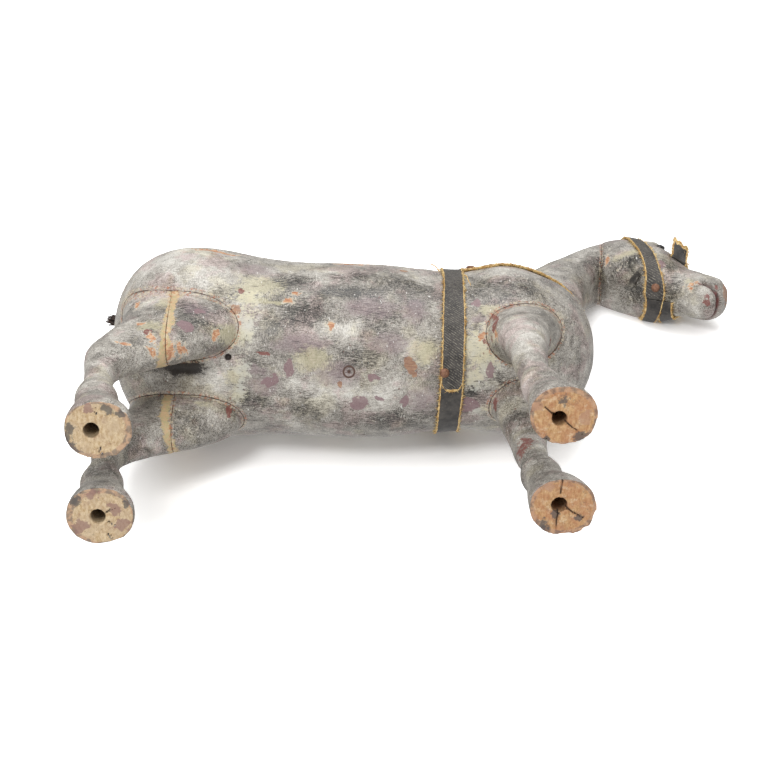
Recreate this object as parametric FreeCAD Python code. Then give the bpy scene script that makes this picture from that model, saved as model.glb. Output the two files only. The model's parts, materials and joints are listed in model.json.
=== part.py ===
"""Carved and painted wooden horse from a pull-along toy, in millimetres.

+X runs towards the head, +Y to the horse's left and +Z up. The origin lies on the plane of the
hoof soles, midway between the four peg sockets that once held the horse on its wheeled board.
Wooden blocks are glued and dowelled together; leather harness straps are nailed on with tacks.
"""

import FreeCAD, Part
import math
import os
from FreeCAD import Vector

# ---------------------------------------------------------------- driving dimensions
SOCKET_SPACING_X = 250.0  # hind peg socket to fore peg socket
SOCKET_SPACING_Y = 50.0  # right peg socket to left peg socket
SOCKET_RADIUS = 4.25
SOCKET_DEPTH = 22.0
SOLE_HALF_LENGTH = 18.4
SOLE_HALF_WIDTH = 16.4
SOLE_FORWARD = 2.4  # the sockets were drilled a little behind the middle of each sole
BODY_YAW_DEG = 2.2  # the body was set on its legs a little out of line, head to the left
STIFLE_JOINT_X = -96.0  # glue plane between stifle block and hind leg
TRUNK_AXIS_Z = 198.0  # centre line of the barrel
GIRTH_X = 72.8  # middle of the girth strap
GIRTH_WIDTH = 13.8
GIRTH_SKEW_DEG = 2.0  # the girth was nailed on slightly askew
LEATHER = 1.8  # thickness of one strap
TACK_HEAD_RADIUS = 3.1
TACK_HEAD_HEIGHT = 1.5
TACK_SHANK_RADIUS = 0.8
TACK_LENGTH = 10.0
FINE_DOWEL_RADIUS = 3.0
DOWEL_RADIUS = 4.0
NECK_DOWEL_RADIUS = 5.0
EYE_RADIUS = 3.4
HINGE_GAP = 0.4  # between the fixed root of a leather flap and its flexing end
TAIL_GAP = 0.8
TAIL_RADIUS = 2.8

HALF_X = SOCKET_SPACING_X / 2
HALF_Y = SOCKET_SPACING_Y / 2
RING_POINTS = 20
FAR = 600.0  # larger than the whole horse
RIGHT, LEFT = -1, 1

# Outlines as rings: (low or rear point), (high or front point), half width across Y.
# Trunk rings stand upright, so each needs only x, bottom z, top z and half width.
TRUNK = [
    (-138.0, 199.0, 223.0, 9.0),
    (-134.5, 182.0, 240.0, 27.0),
    (-123.0, 163.0, 254.0, 46.0),
    (-99.0, 151.0, 262.0, 58.5),
    (-73.0, 148.0, 263.0, 59.0),
    (-37.0, 145.0, 256.0, 54.0),
    (13.0, 139.0, 251.0, 53.5),
    (52.0, 140.0, 252.0, 50.5),
    (82.0, 142.0, 255.0, 47.5),
    (108.0, 144.0, 257.0, 51.0),
    (131.0, 150.0, 252.0, 45.5),
    (151.0, 163.0, 240.0, 34.0),
    (161.0, 178.0, 228.0, 20.0),
    (164.0, 192.0, 214.0, 8.0),
]
NECK = [
    ((133.0, 187.0), (72.0, 215.0), 32.0),
    ((149.0, 208.0), (82.0, 245.0), 30.5),
    ((159.0, 243.0), (101.0, 282.0), 23.8),
    ((165.0, 277.0), (123.0, 319.0), 20.2),
    ((170.5, 304.0), (145.0, 351.0), 19.4),
    ((176.5, 323.0), (166.0, 374.0), 20.0),
    ((184.0, 337.0), (190.0, 389.5), 21.6),
]
HEAD = [
    ((184.0, 337.0), (190.0, 389.5), 21.6),
    ((192.0, 329.0), (206.0, 391.0), 24.6),
    ((204.0, 319.0), (222.0, 379.0), 25.0),
    ((216.0, 310.0), (234.0, 362.0), 23.6),
    ((224.0, 305.0), (240.5, 351.0), 19.6),
    ((232.0, 300.0), (247.0, 341.0), 15.9),
    ((244.0, 291.5), (257.5, 324.0), 14.9),
    ((254.0, 287.5), (265.0, 311.5), 12.8),
    ((261.0, 290.5), (267.0, 302.5), 6.5),
]
# Leg rings: rear point, front point, half width, and how far the ring's middle is from the horse's midline.
FORELEG = [
    ((96.0, 182.0), (134.0, 182.0), 13.0, 17.0),
    ((92.0, 164.0), (141.0, 166.0), 17.6, 18.2),
    ((96.0, 146.0), (136.0, 148.0), 16.4, 21.0),
    ((100.5, 129.0), (131.0, 130.0), 13.8, 25.5),
    ((103.5, 111.0), (128.5, 112.0), 12.0, 27.5),
    ((105.5, 92.0), (126.5, 92.0), 10.4, 27.8),
    ((107.0, 74.0), (125.5, 74.0), 9.6, 27.2),
    ((108.5, 60.0), (126.0, 60.0), 9.4, 26.8),
    ((107.5, 45.0), (130.5, 45.0), 11.0, 26.6),
    ((109.5, 32.0), (132.0, 32.0), 10.8, 26.6),
    ((109.5, 20.0), (138.0, 20.0), 13.2, 26.7),
    ((109.2, 8.0), (144.0, 8.0), 15.9, 26.7),
]
HIND_LEG = [
    ((-122.0, 200.0), (-72.0, 196.0), 13.0, 32.0),
    ((-128.0, 181.0), (-60.0, 172.0), 18.2, 31.0),
    ((-127.0, 160.0), (-56.5, 151.0), 17.6, 28.8),
    ((-132.0, 143.0), (-77.0, 129.0), 14.8, 27.9),
    ((-139.5, 126.0), (-101.0, 112.0), 12.2, 27.4),
    ((-142.5, 107.0), (-117.5, 96.0), 11.0, 26.8),
    ((-139.5, 83.0), (-122.0, 79.0), 9.4, 26.0),
    ((-138.5, 62.0), (-120.5, 61.0), 9.2, 25.6),
    ((-140.0, 45.0), (-116.0, 46.0), 11.0, 25.4),
    ((-138.5, 31.0), (-114.0, 33.0), 11.0, 25.2),
    ((-140.0, 19.0), (-109.5, 20.5), 13.4, 25.0),
    ((-141.0, 8.0), (-104.8, 8.0), 15.9, 24.9),
]
# Where straps run: each band is cut from a shell by two planes a strap's width apart.
CHEEK_JAW, CHEEK_CROWN = (217.5, 309.0), (207.0, 390.0)
CHEEK_WIDTH = 9.5
NOSE_JAW, NOSE_BRIDGE = (225.0, 305.0), (242.0, 346.0)
NOSE_WIDTH = 10.5
NOSE_TORN_Z = 335.0  # the right end of the noseband is torn off at this height
BREAST_GIRTH_Z, BREAST_FRONT_Z, BREAST_WIDTH = 219.5, 229.0, 9.5
BREAST_START_GAP = 2.0  # from the girth's edge to the ends of the breast strap
# The girth's lap on the belly, in degrees round the barrel from the lowest line towards the right side.
TONGUE_END_DEG, LAP_START_DEG, STEP_UP_DEG = -6.0, 12.0, 16.0
FIT = 0.2  # clearance where two straps, or a strap and a block, would otherwise share a face
FLAP_THICKNESS, FLAP_TAPER = 1.6, 0.9
EAR_THICKNESS, EAR_TAPER = 1.5, 0.3
# Small parts: what is given for the left side is mirrored for the right.
NOSE_FLAP_ROOT, NOSE_FLAP_TIP = (238.5, -21.5, 338.0), (239.5, -32.5, 341.5)
NOSE_FLAP_ALONG = (9.7, 5.5, -4.0)
EYE, EYE_OUTWARD = (226.0, 10.0, 353.0), (0.1, 1.0, 0.2)
EYE_BALL_RADIUS, EYE_RIM_HEIGHT, EYE_DEPTH = 4.6, 0.8, 4.0
EAR_FOOT, EAR_ROOT, EAR_TIP = (217.7, 9.0, 374.5), (215.9, 10.0, 385.3), (213.4, 12.5, 398.0)
EAR_ALONG_Y, EAR_ALONG_Z = 8.0, -4.1
TAIL_HOLE, TAIL_EXIT, TAIL_TIP = (-118.0, 0.0, 240.0), (-132.5, 0.0, 245.5), (-148.0, 0.0, 251.5)
# Dowels, from end to end.
FORELEG_DOWEL = (112.0, 28.0, 150.0), (112.0, 25.0, 212.0)
HIND_LEG_DOWEL = (-117.0, 30.0, 158.0), (-113.0, 28.0, 222.0)
STIFLE_DOWEL = (-117.0, 31.0, 150.5), (-75.0, 31.0, 155.5)
NECK_DOWEL = (84.0, 0.0, 168.0), (124.0, 0.0, 262.0)
HEAD_DOWEL = (168.0, 0.0, 358.0), (206.0, 0.0, 352.0)
# Tacks: a point inside, and the direction in which each is driven out of the surface.
BELLY_TACK = (GIRTH_X - 4.6, 0.0, 190.0), (0.0, -0.11, -1.0)
SPINE_TACK = (GIRTH_X, 5.0, 200.0), (0.0, 0.08, 1.0)
BREAST_TACK = (GIRTH_X + 14.0, 0.0, 205.0), (0.0, 1.0, 0.33)
JAW_TACK = (226.0, -4.0, 330.0), (-0.34, -0.2, -1.0)
CROWN_TACK = (205.5, 3.5, 365.0), (0.05, 0.13, 1.0)


# ---------------------------------------------------------------- shape helpers
def ring(low, high, half_width, side=0.0, grow=0.0, fullness=2.15):
    """A closed rounded outline through low and high, in the plane that holds them and the Y direction."""
    middle = Vector((low[0] + high[0]) / 2, side, (low[1] + high[1]) / 2)
    rise = Vector((high[0] - low[0]) / 2, 0, (high[1] - low[1]) / 2)
    rise *= 1 + grow / rise.Length
    points = []
    for k in range(RING_POINTS):
        turn = 2 * math.pi * k / RING_POINTS
        across, along = [
            math.copysign(abs(part) ** (2 / fullness), part) for part in (math.cos(turn), math.sin(turn))
        ]
        points.append(middle + Vector(0, across * (half_width + grow), 0) + rise * along)
    curve = Part.BSplineCurve()
    curve.interpolate(Points=points, PeriodicFlag=True, Parameters=list(range(RING_POINTS + 1)))
    return curve


def loft(rings):
    """A solid whose skin runs smoothly through closed curves that share one set of knots."""
    poles = [curve.getPoles() for curve in rings]
    stations = [0.0]
    for near, far in zip(poles, poles[1:]):
        steps = [(q - p).Length for p, q in zip(near, far)]
        stations.append(stations[-1] + sum(steps) / len(steps))
    paths = []
    for column in zip(*poles):
        path = Part.BSplineCurve()
        path.interpolate(Points=list(column), Parameters=stations)
        paths.append(path)
    skin = Part.BSplineSurface()
    skin.buildFromPolesMultsKnots(
        [path.getPoles() for path in paths],
        rings[0].getMultiplicities(),
        paths[0].getMultiplicities(),
        rings[0].getKnots(),
        paths[0].getKnots(),
        True,
        False,
        rings[0].Degree,
        paths[0].Degree,
    )
    caps = [Part.Face(Part.Wire(curve.toShape())) for curve in (rings[0], rings[-1])]
    shell = Part.makeShell([skin.toShape()] + caps)
    shell.sewShape()
    solid = Part.makeSolid(shell)
    if solid.Volume < 0:
        solid.reverse()
    return solid


def rod(start, end, radius):
    """A round bar between two points."""
    start, end = Vector(*start), Vector(*end)
    return Part.makeCylinder(radius, (end - start).Length, start, end - start)


def slab(through, along, width):
    """The space between two planes a width apart, along Y and along the line through -> along."""
    run = Vector(along[0] - through[0], 0, along[1] - through[1]).normalize()
    across = Vector(run.z, 0, -run.x)
    corner = Vector(through[0], 0, through[1]) - run * FAR - across * (width / 2) - Vector(0, FAR, 0)
    base = Part.makePolygon([
        corner,
        corner + run * (2 * FAR),
        corner + run * (2 * FAR) + across * width,
        corner + across * width,
        corner,
    ])
    return Part.Face(base).extrude(Vector(0, 2 * FAR, 0))


def outer_point(cover, start, out):
    """Where the line that leaves start in the direction out comes out of cover."""
    crossings = Part.makeLine(start, start + out * FAR).common(cover).Vertexes
    return max((v.Point for v in crossings), key=lambda point: (point - start).Length)


def tack(cover, start, outward):
    """A dome-headed nail driven into cover, on the line that leaves start in the outward direction."""
    out = Vector(*outward).normalize()
    foot = outer_point(cover, Vector(*start), out)
    rim, crown = Vector(TACK_HEAD_RADIUS, 0, 0), Vector(0, 0, TACK_HEAD_HEIGHT)
    shoulder = Vector(0.72 * TACK_HEAD_RADIUS, 0, 0.72 * TACK_HEAD_HEIGHT)
    under_head, shank_end = Vector(TACK_SHANK_RADIUS, 0, 0), Vector(TACK_SHANK_RADIUS, 0, -TACK_LENGTH)
    dome = Part.Arc(crown, shoulder, rim).toShape()
    sides = Part.makePolygon([rim, under_head, shank_end, Vector(0, 0, -TACK_LENGTH), crown])
    nail = Part.Face(Part.Wire([dome] + sides.Edges)).revolve(Vector(0, 0, 0), Vector(0, 0, 1), 360)
    nail.Placement = FreeCAD.Placement(foot, FreeCAD.Rotation(Vector(0, 0, 1), out))
    return nail


# ---------------------------------------------------------------- wooden blocks, before their joints are cut
def trunk_form(grow=0.0):
    return loft([ring((x, low), (x, high), wide, grow=grow) for x, low, high, wide in TRUNK])


def neck_form(grow=0.0):
    return loft([ring(low, high, wide, grow=grow) for low, high, wide in NECK])


def head_middle(x):
    """How far the head's own middle plane is from the body's, so that the head looks straight ahead."""
    return (HEAD[0][0][0] - x) * math.tan(math.radians(BODY_YAW_DEG))


def head_form(grow=0.0):
    rings = [(low, high, wide, head_middle((low[0] + high[0]) / 2)) for low, high, wide in HEAD]
    return loft([ring(low, high, wide, side, grow, 2.4) for low, high, wide, side in rings])


def leg_form(outline, hoof_x, side):
    """A whole leg with its hoof, from its seat in the trunk down to the flat sole."""
    rings = [ring(rear, front, wide, side * middle) for rear, front, wide, middle in outline]
    middle = hoof_x + SOLE_FORWARD
    sole_rear, sole_front = (middle - SOLE_HALF_LENGTH, 0.0), (middle + SOLE_HALF_LENGTH, 0.0)
    rings.append(ring(sole_rear, sole_front, SOLE_HALF_WIDTH, side * outline[-1][3]))
    return loft(rings)


def peg_socket(hoof_x, side):
    return rod((hoof_x, side * HALF_Y, -1.0), (hoof_x, side * HALF_Y, SOCKET_DEPTH), SOCKET_RADIUS)


# ---------------------------------------------------------------- hidden dowels
def on_side(place, side):
    """A place given for the left side, carried to either side."""
    return Vector(place[0], side * place[1], place[2])


def dowel(ends, radius, side=LEFT):
    return rod(on_side(ends[0], side), on_side(ends[1], side), radius)


def dowel_pair(ends, radius):
    return Part.makeCompound([dowel(ends, radius, side) for side in (RIGHT, LEFT)])


# ---------------------------------------------------------------- harness
def girth_layer(inner, outer):
    """Part of the girth's wall, between two heights above the trunk's surface."""
    band = slab((GIRTH_X, 0.0), (GIRTH_X, 100.0), GIRTH_WIDTH)
    band.rotate(Vector(GIRTH_X, 0, 0), Vector(0, 0, 1), GIRTH_SKEW_DEG)
    return trunk_form(outer).common(band).cut(trunk_form(inner))


def sector(from_deg, to_deg):
    """A wedge round the trunk's centre line. 0 points down, and positive angles are on the right side."""
    rim = []
    steps = 12
    for k in range(steps + 1):
        a = math.radians(from_deg + (to_deg - from_deg) * k / steps)
        rim.append(Vector(-FAR, -FAR * math.sin(a), TRUNK_AXIS_Z - FAR * math.cos(a)))
    hub = Vector(-FAR, 0, TRUNK_AXIS_Z)
    return Part.Face(Part.makePolygon([hub] + rim + [hub])).extrude(Vector(2 * FAR, 0, 0))


def girth_strap_left():
    """Plain strap from the spine over the left flank to the belly, where it lies under the other strap."""
    return girth_layer(0.0, LEATHER).common(sector(-180.0, LAP_START_DEG))


def girth_strap_right():
    """Patterned strap from the spine over the right flank, its tongue lapped over the left strap."""
    flank = girth_layer(0.0, LEATHER).common(sector(LAP_START_DEG + FIT, 180.0))
    rise = girth_layer(0.0, 2 * LEATHER).common(sector(LAP_START_DEG + FIT, STEP_UP_DEG))
    tongue = girth_layer(LEATHER, 2 * LEATHER).common(sector(TONGUE_END_DEG, STEP_UP_DEG))
    return flank.fuse(rise).fuse(tongue)


def breast_strap():
    """A band from the girth on one side, round the neck's base, to the girth on the other side."""
    band = slab((GIRTH_X, BREAST_GIRTH_Z), (TRUNK[-1][0], BREAST_FRONT_Z), BREAST_WIDTH)
    start_x = GIRTH_X + GIRTH_WIDTH / 2 + BREAST_START_GAP
    ahead = Part.makeBox(FAR, 2 * FAR, 2 * FAR, Vector(start_x, -FAR, -FAR))
    return trunk_form(LEATHER).common(band).common(ahead).cut([trunk_form(), neck_form(FIT)])


def head_band(through, along, width, inner=0.0, outer=LEATHER):
    return head_form(outer).common(slab(through, along, width)).cut(head_form(inner))


def cheek_strap(side):
    """From the crown behind the ear, down the cheek to the tack under the jaw."""
    middle = Part.makeBox(2 * FAR, FAR, 2 * FAR, Vector(-FAR, 0.1 if side > 0 else -0.1 - FAR, -FAR))
    return head_band(CHEEK_JAW, CHEEK_CROWN, CHEEK_WIDTH).common(middle)


def noseband():
    """From under the jaw, up the left side and over the bridge of the nose to where it is torn."""
    torn_off = Part.makeBox(2 * FAR, FAR, NOSE_TORN_Z, Vector(-FAR, -FAR, 0))
    cheek = slab(CHEEK_JAW, CHEEK_CROWN, CHEEK_WIDTH + FIT)
    return head_band(NOSE_JAW, NOSE_BRIDGE, NOSE_WIDTH).cut([torn_off, cheek])


def blade(root, tip, width_along, thickness, taper):
    """A flat leather flap, as wide as width_along at its root and taper times that at its tip."""
    root, tip, wide = Vector(*root), Vector(*tip), Vector(*width_along)
    up = (tip - root).normalize()
    out = up.cross(wide).normalize() * (thickness / 2)
    corners = [root - wide * 0.5, root + wide * 0.5, tip + wide * (taper / 2), tip - wide * (taper / 2)]
    face = Part.Face(Part.makePolygon([c - out for c in corners] + [corners[0] - out]))
    return face.extrude(out * 2)


def on_head(place, side):
    """A place given for the left of a centred head, carried to one side of the real one."""
    return Vector(place[0], head_middle(place[0]) + side * place[1], place[2])


def nose_flap():
    """The torn, free end of the noseband, standing off the right side of the nose."""
    return blade(NOSE_FLAP_ROOT, NOSE_FLAP_TIP, NOSE_FLAP_ALONG, FLAP_THICKNESS, FLAP_TAPER)


def ear_blade(side):
    """The free part of a leather ear."""
    root, tip = on_head(EAR_ROOT, side), on_head(EAR_TIP, side)
    gap = (tip - root).normalize() * HINGE_GAP
    return blade(root + gap, tip, (0.0, side * EAR_ALONG_Y, EAR_ALONG_Z), EAR_THICKNESS, EAR_TAPER)


def ear_root(side):
    """The glued foot of a leather ear, let into the top of the head."""
    along = (0.0, side * EAR_ALONG_Y, EAR_ALONG_Z)
    return blade(on_head(EAR_FOOT, side), on_head(EAR_ROOT, side), along, EAR_THICKNESS, 1.0)


def eye(side):
    """A glass stud with a domed front, let into the side of the head."""
    out = Vector(EYE_OUTWARD[0], side * EYE_OUTWARD[1], EYE_OUTWARD[2]).normalize()
    rim = outer_point(head_form(), on_head(EYE, side), out) + out * EYE_RIM_HEIGHT
    ball = Part.makeSphere(EYE_BALL_RADIUS, rim - out * (EYE_BALL_RADIUS ** 2 - EYE_RADIUS ** 2) ** 0.5)
    return ball.common(Part.makeCylinder(EYE_RADIUS, 2 * EYE_DEPTH, rim - out * EYE_DEPTH, out))


def tail_root():
    """The bound end of the horsehair tail, plugged into the top of the rump."""
    return rod(TAIL_HOLE, TAIL_EXIT, TAIL_RADIUS)


def tail_tuft():
    """The free, clipped end of the horsehair tail."""
    run = (Vector(*TAIL_TIP) - Vector(*TAIL_EXIT)).normalize()
    return rod(Vector(*TAIL_EXIT) + run * TAIL_GAP, TAIL_TIP, TAIL_RADIUS)


# ---------------------------------------------------------------- tacks
def tack_pair(cover, start, outward):
    """The same tack on the right and on the left side."""
    return Part.makeCompound([tack(cover, on_side(start, s), on_side(outward, s)) for s in (RIGHT, LEFT)])


def belly_tack():
    """Through the lap of the two girth straps."""
    return tack(trunk_form(2 * LEATHER), *BELLY_TACK)


def spine_tacks():
    """Through the ends of the girth straps, on top of the back."""
    return tack_pair(trunk_form(LEATHER), *SPINE_TACK)


def breast_tacks():
    """Through the ends of the breast strap, just ahead of the girth."""
    return tack_pair(trunk_form(LEATHER), *BREAST_TACK)


def jaw_tack():
    """Through the bridle where its straps meet under the jaw."""
    return tack(head_form(LEATHER), *JAW_TACK)


def crown_tacks():
    """Through the bridle on top of the head."""
    return tack_pair(head_form(LEATHER), *CROWN_TACK)


# ---------------------------------------------------------------- assembly
def turned(shape):
    """A shape of the body, carried to where the body stands on its legs."""
    shape = shape.copy()
    shape.rotate(Vector(0, 0, 0), Vector(0, 0, 1), BODY_YAW_DEG)
    return shape


def body_pieces():
    """Everything but the legs, before the body is turned."""
    blocks = {"trunk": trunk_form(), "neck": neck_form(), "head": head_form()}
    blocks["trunk"] = blocks["trunk"].cut(blocks["neck"])
    pins = {
        "neck_dowel": dowel(NECK_DOWEL, NECK_DOWEL_RADIUS),
        "head_dowel": dowel(HEAD_DOWEL, DOWEL_RADIUS),
        "tail_root": tail_root(),
        "eye_right": eye(RIGHT),
        "eye_left": eye(LEFT),
        "ear_root_right": ear_root(RIGHT),
        "ear_root_left": ear_root(LEFT),
        "belly_tack": belly_tack(),
        "spine_tacks": spine_tacks(),
        "breast_tacks": breast_tacks(),
        "jaw_tack": jaw_tack(),
        "crown_tacks": crown_tacks(),
    }
    straps = {
        "girth_strap_right": girth_strap_right(),
        "girth_strap_left": girth_strap_left(),
        "breast_strap": breast_strap(),
        "cheek_strap_right": cheek_strap(RIGHT),
        "cheek_strap_left": cheek_strap(LEFT),
        "noseband": noseband(),
    }
    flaps = {
        "nose_flap": nose_flap(),
        "ear_right": ear_blade(RIGHT),
        "ear_left": ear_blade(LEFT),
        "tail_tuft": tail_tuft(),
    }
    drilled = {}
    for name, shape in {**blocks, **straps}.items():
        for pin in pins.values():
            shape = shape.cut(pin)
        drilled[name] = shape
    return {name: turned(shape) for name, shape in {**drilled, **pins, **flaps}.items()}


def leg_pieces():
    legs = {}
    front = Part.makeBox(FAR, 2 * FAR, 2 * FAR, Vector(STIFLE_JOINT_X, -FAR, -FAR))
    for label, side in (("right", RIGHT), ("left", LEFT)):
        legs["foreleg_" + label] = leg_form(FORELEG, HALF_X, side).cut(peg_socket(HALF_X, side))
        whole = leg_form(HIND_LEG, -HALF_X, side).cut(peg_socket(-HALF_X, side))
        legs["stifle_block_" + label] = whole.common(front)
        legs["hind_leg_" + label] = whole.cut(front)
    return legs


def build():
    parts = {**body_pieces(), **leg_pieces()}
    legs = [name for name in parts if name.startswith(("foreleg", "stifle", "hind"))]
    parts["trunk"] = parts["trunk"].cut([parts[name] for name in legs])
    dowels = {
        "foreleg_dowels": dowel_pair(FORELEG_DOWEL, DOWEL_RADIUS),
        "hind_leg_dowels": dowel_pair(HIND_LEG_DOWEL, DOWEL_RADIUS),
        "stifle_dowels": dowel_pair(STIFLE_DOWEL, FINE_DOWEL_RADIUS),
    }
    for name in ["trunk", "neck"] + legs:
        parts[name] = parts[name].cut(list(dowels.values()))
    return {**parts, **dowels}


def main():
    os.makedirs("parts", exist_ok=True)
    for name, shape in build().items():
        solids = [s for s in shape.Solids if s.Volume > 1.0]
        if not solids or not all(s.isValid() for s in solids):
            raise ValueError(f"{name} has no valid solid")
        made = solids[0] if len(solids) == 1 else Part.makeCompound(solids)
        made.exportStep(f"parts/{name}.step")
        print(name, len(solids), round(made.Volume / 1000, 2), "cm3")


main()
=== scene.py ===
"""Looks of a carved and painted wooden horse from a pull-along toy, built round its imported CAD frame.

Forms are worked out in millimetres and handed to Blender in metres. +X runs to the head, +Y to the
horse's left and +Z up. "Body" coordinates are the same frame turned back by the body's small yaw.
"""

import bmesh
import bpy
import json
import math
import numpy as np
from mathutils import Matrix, Vector
from mathutils.bvhtree import BVHTree


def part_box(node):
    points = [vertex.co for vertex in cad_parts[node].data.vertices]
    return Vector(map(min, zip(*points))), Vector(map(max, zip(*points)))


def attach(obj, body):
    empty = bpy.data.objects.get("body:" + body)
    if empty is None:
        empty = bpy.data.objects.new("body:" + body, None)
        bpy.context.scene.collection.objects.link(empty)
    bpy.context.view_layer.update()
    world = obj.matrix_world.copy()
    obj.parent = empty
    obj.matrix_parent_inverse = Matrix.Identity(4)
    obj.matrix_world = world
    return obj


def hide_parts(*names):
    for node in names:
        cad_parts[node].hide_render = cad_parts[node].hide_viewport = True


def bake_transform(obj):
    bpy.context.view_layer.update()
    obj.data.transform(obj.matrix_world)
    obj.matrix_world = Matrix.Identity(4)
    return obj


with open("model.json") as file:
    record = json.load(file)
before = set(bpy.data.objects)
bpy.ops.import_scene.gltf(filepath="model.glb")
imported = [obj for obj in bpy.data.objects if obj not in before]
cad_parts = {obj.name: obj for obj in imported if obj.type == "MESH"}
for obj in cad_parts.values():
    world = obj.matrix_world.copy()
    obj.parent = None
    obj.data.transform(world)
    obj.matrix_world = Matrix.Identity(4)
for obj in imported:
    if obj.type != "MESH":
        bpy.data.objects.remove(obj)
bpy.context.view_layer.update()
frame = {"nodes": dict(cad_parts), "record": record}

MM = 0.001
BODY_YAW = math.radians(2.2)
BARREL_Z = 198.0  # height of the barrel's centre line
STIFLE_JOINT_X = -96.0  # glue plane across each thigh
HEAD_JOINT, HEAD_JOINT_NORMAL = (187.0, 0.0, 363.0), (0.9935, 0.0, -0.1135)
BARREL_RADIUS = 55.0  # turns degrees round the barrel into millimetres for the paint marks
HEAD_YAW_X = 184.0  # where the head's middle plane meets the body's
SOCKET_X, SOCKET_Y = 125.0, 25.0
SOLE_AHEAD, SOLE_HALF_LENGTH = 2.4, 18.4  # each sole's middle lies a little ahead of its socket
SOLE_MIDDLE_Y, SOLE_HALF_WIDTH = 25.8, 16.4
LEGS_FROM_Z = 118.0  # the legs' glue lines and creases lie above this
HEAD_PART_FROM_Z = 240.0  # the neck and head lie above this, the legs below
CRUMB_VERTS = 400  # loose pieces with fewer vertices are crumbs of the cutting
TRUNK_VOXEL, FINE_VOXEL, STRAP_VOXEL = ((1.1, 0.8, 0.5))
TACK_VOXEL = 0.3
CRACK = 0.12  # open hairline left between two glued blocks
LEG_SKIN = 0.8  # the glue line is cut this far outside the CAD leg

LEGS = ["foreleg_right", "foreleg_left"]
THIGHS = ["stifle_block_right", "hind_leg_right", "stifle_block_left", "hind_leg_left"]
WOOD = ["trunk", "neck", "head"] + LEGS + THIGHS
DOWELS = [n for n in frame["nodes"] if "dowel" in n]


# ------------------------------------------------------------------ numbers and fields
def smooth_step(low, high, x):
    t = np.clip((x - low) / (high - low), 0.0, 1.0)
    return t * t * (3 - 2 * t)


LATTICE = np.random.default_rng(7).random((32, 32, 32))


def noise(points, size, seed=0):
    """Smooth noise from -1 to 1 whose bumps are about size across."""
    p = points / size + np.array([11.3, 5.7, 3.1]) * (seed + 1)
    cell = np.floor(p).astype(int)
    f = p - cell
    f = f * f * (3 - 2 * f)
    total = np.zeros(len(p))
    for corner in range(8):
        bits = np.array([corner & 1, corner >> 1 & 1, corner >> 2 & 1])
        weight = np.prod(np.where(bits, f, 1 - f), axis=1)
        a, b, c = ((cell + bits) & 31).T
        total += weight * LATTICE[a, b, c]
    return 2 * total - 1


def rough(points, size, seed=0):
    """Noise with three octaves."""
    return sum(noise(points, size / 2**k, seed + k) / 2**k for k in range(3)) / 1.5


def to_body(points):
    """World millimetres to body millimetres."""
    c, s = math.cos(BODY_YAW), math.sin(BODY_YAW)
    x, y, z = points.T
    return np.stack([x * c + y * s, y * c - x * s, z], 1)


def to_world(points):
    c, s = math.cos(BODY_YAW), math.sin(BODY_YAW)
    x, y, z = np.asarray(points, float).T
    return np.stack([x * c - y * s, x * s + y * c, z], 1)


def head_middle(x):
    """The head's middle plane, in body coordinates: the head looks straight ahead on a turned body."""
    return (HEAD_YAW_X - x) * math.tan(BODY_YAW)


def barrel_angle(body):
    """Degrees round the barrel from the belly line, positive on the right side."""
    return np.degrees(np.arctan2(-body[:, 1], BARREL_Z - body[:, 2]))


# ------------------------------------------------------------------ meshes
def points_of(mesh):
    co = np.empty(len(mesh.vertices) * 3, np.float32)
    mesh.vertices.foreach_get("co", co)
    return co.reshape(-1, 3).astype(float) / MM


def normals_of(mesh):
    n = np.empty(len(mesh.vertices) * 3, np.float32)
    mesh.vertex_normals.foreach_get("vector", n)
    return n.reshape(-1, 3).astype(float)


def set_points(mesh, points):
    mesh.vertices.foreach_set("co", (points * MM).astype(np.float32).ravel())
    mesh.update()


def new_object(name, mesh):
    obj = bpy.data.objects.new(name, mesh)
    bpy.context.scene.collection.objects.link(obj)
    return obj


def drop(obj):
    mesh = obj.data
    bpy.data.objects.remove(obj)
    bpy.data.meshes.remove(mesh)


def mesh_from(name, points, faces):
    """A mesh from millimetre points and faces of any size."""
    mesh = bpy.data.meshes.new(name)
    mesh.from_pydata((np.asarray(points) * MM).tolist(), [], [list(f) for f in faces])
    mesh.update()
    return mesh


def cad_copy(names):
    """One object with closed copies of CAD nodes."""
    bm = bmesh.new()
    for name in names:
        bm.from_mesh(frame["nodes"][name].data)
    bmesh.ops.remove_doubles(bm, verts=bm.verts, dist=1e-6)
    mesh = bpy.data.meshes.new("copy")
    bm.to_mesh(mesh)
    bm.free()
    mesh.materials.clear()
    return new_object("copy", mesh)


def modified(obj, kind, **settings):
    """Applies one modifier and returns the same object with its new mesh."""
    modifier = obj.modifiers.new("step", kind)
    for key, value in settings.items():
        setattr(modifier, key, value)
    evaluated = obj.evaluated_get(bpy.context.evaluated_depsgraph_get())
    made = bpy.data.meshes.new_from_object(evaluated)
    old = obj.data
    obj.modifiers.clear()
    obj.data = made
    bpy.data.meshes.remove(old)
    return obj


def remeshed(obj, voxel):
    return modified(obj, "REMESH", mode="VOXEL", voxel_size=voxel * MM)


def boolean(obj, other, operation):
    return modified(obj, "BOOLEAN", object=other, operation=operation, solver="MANIFOLD")


def copy_of(obj, name="copy"):
    return new_object(name, obj.data.copy())


def inflated(obj, amount):
    """Every vertex moved out along its normal, in millimetres."""
    set_points(obj.data, points_of(obj.data) + normals_of(obj.data) * amount)
    return obj


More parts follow.
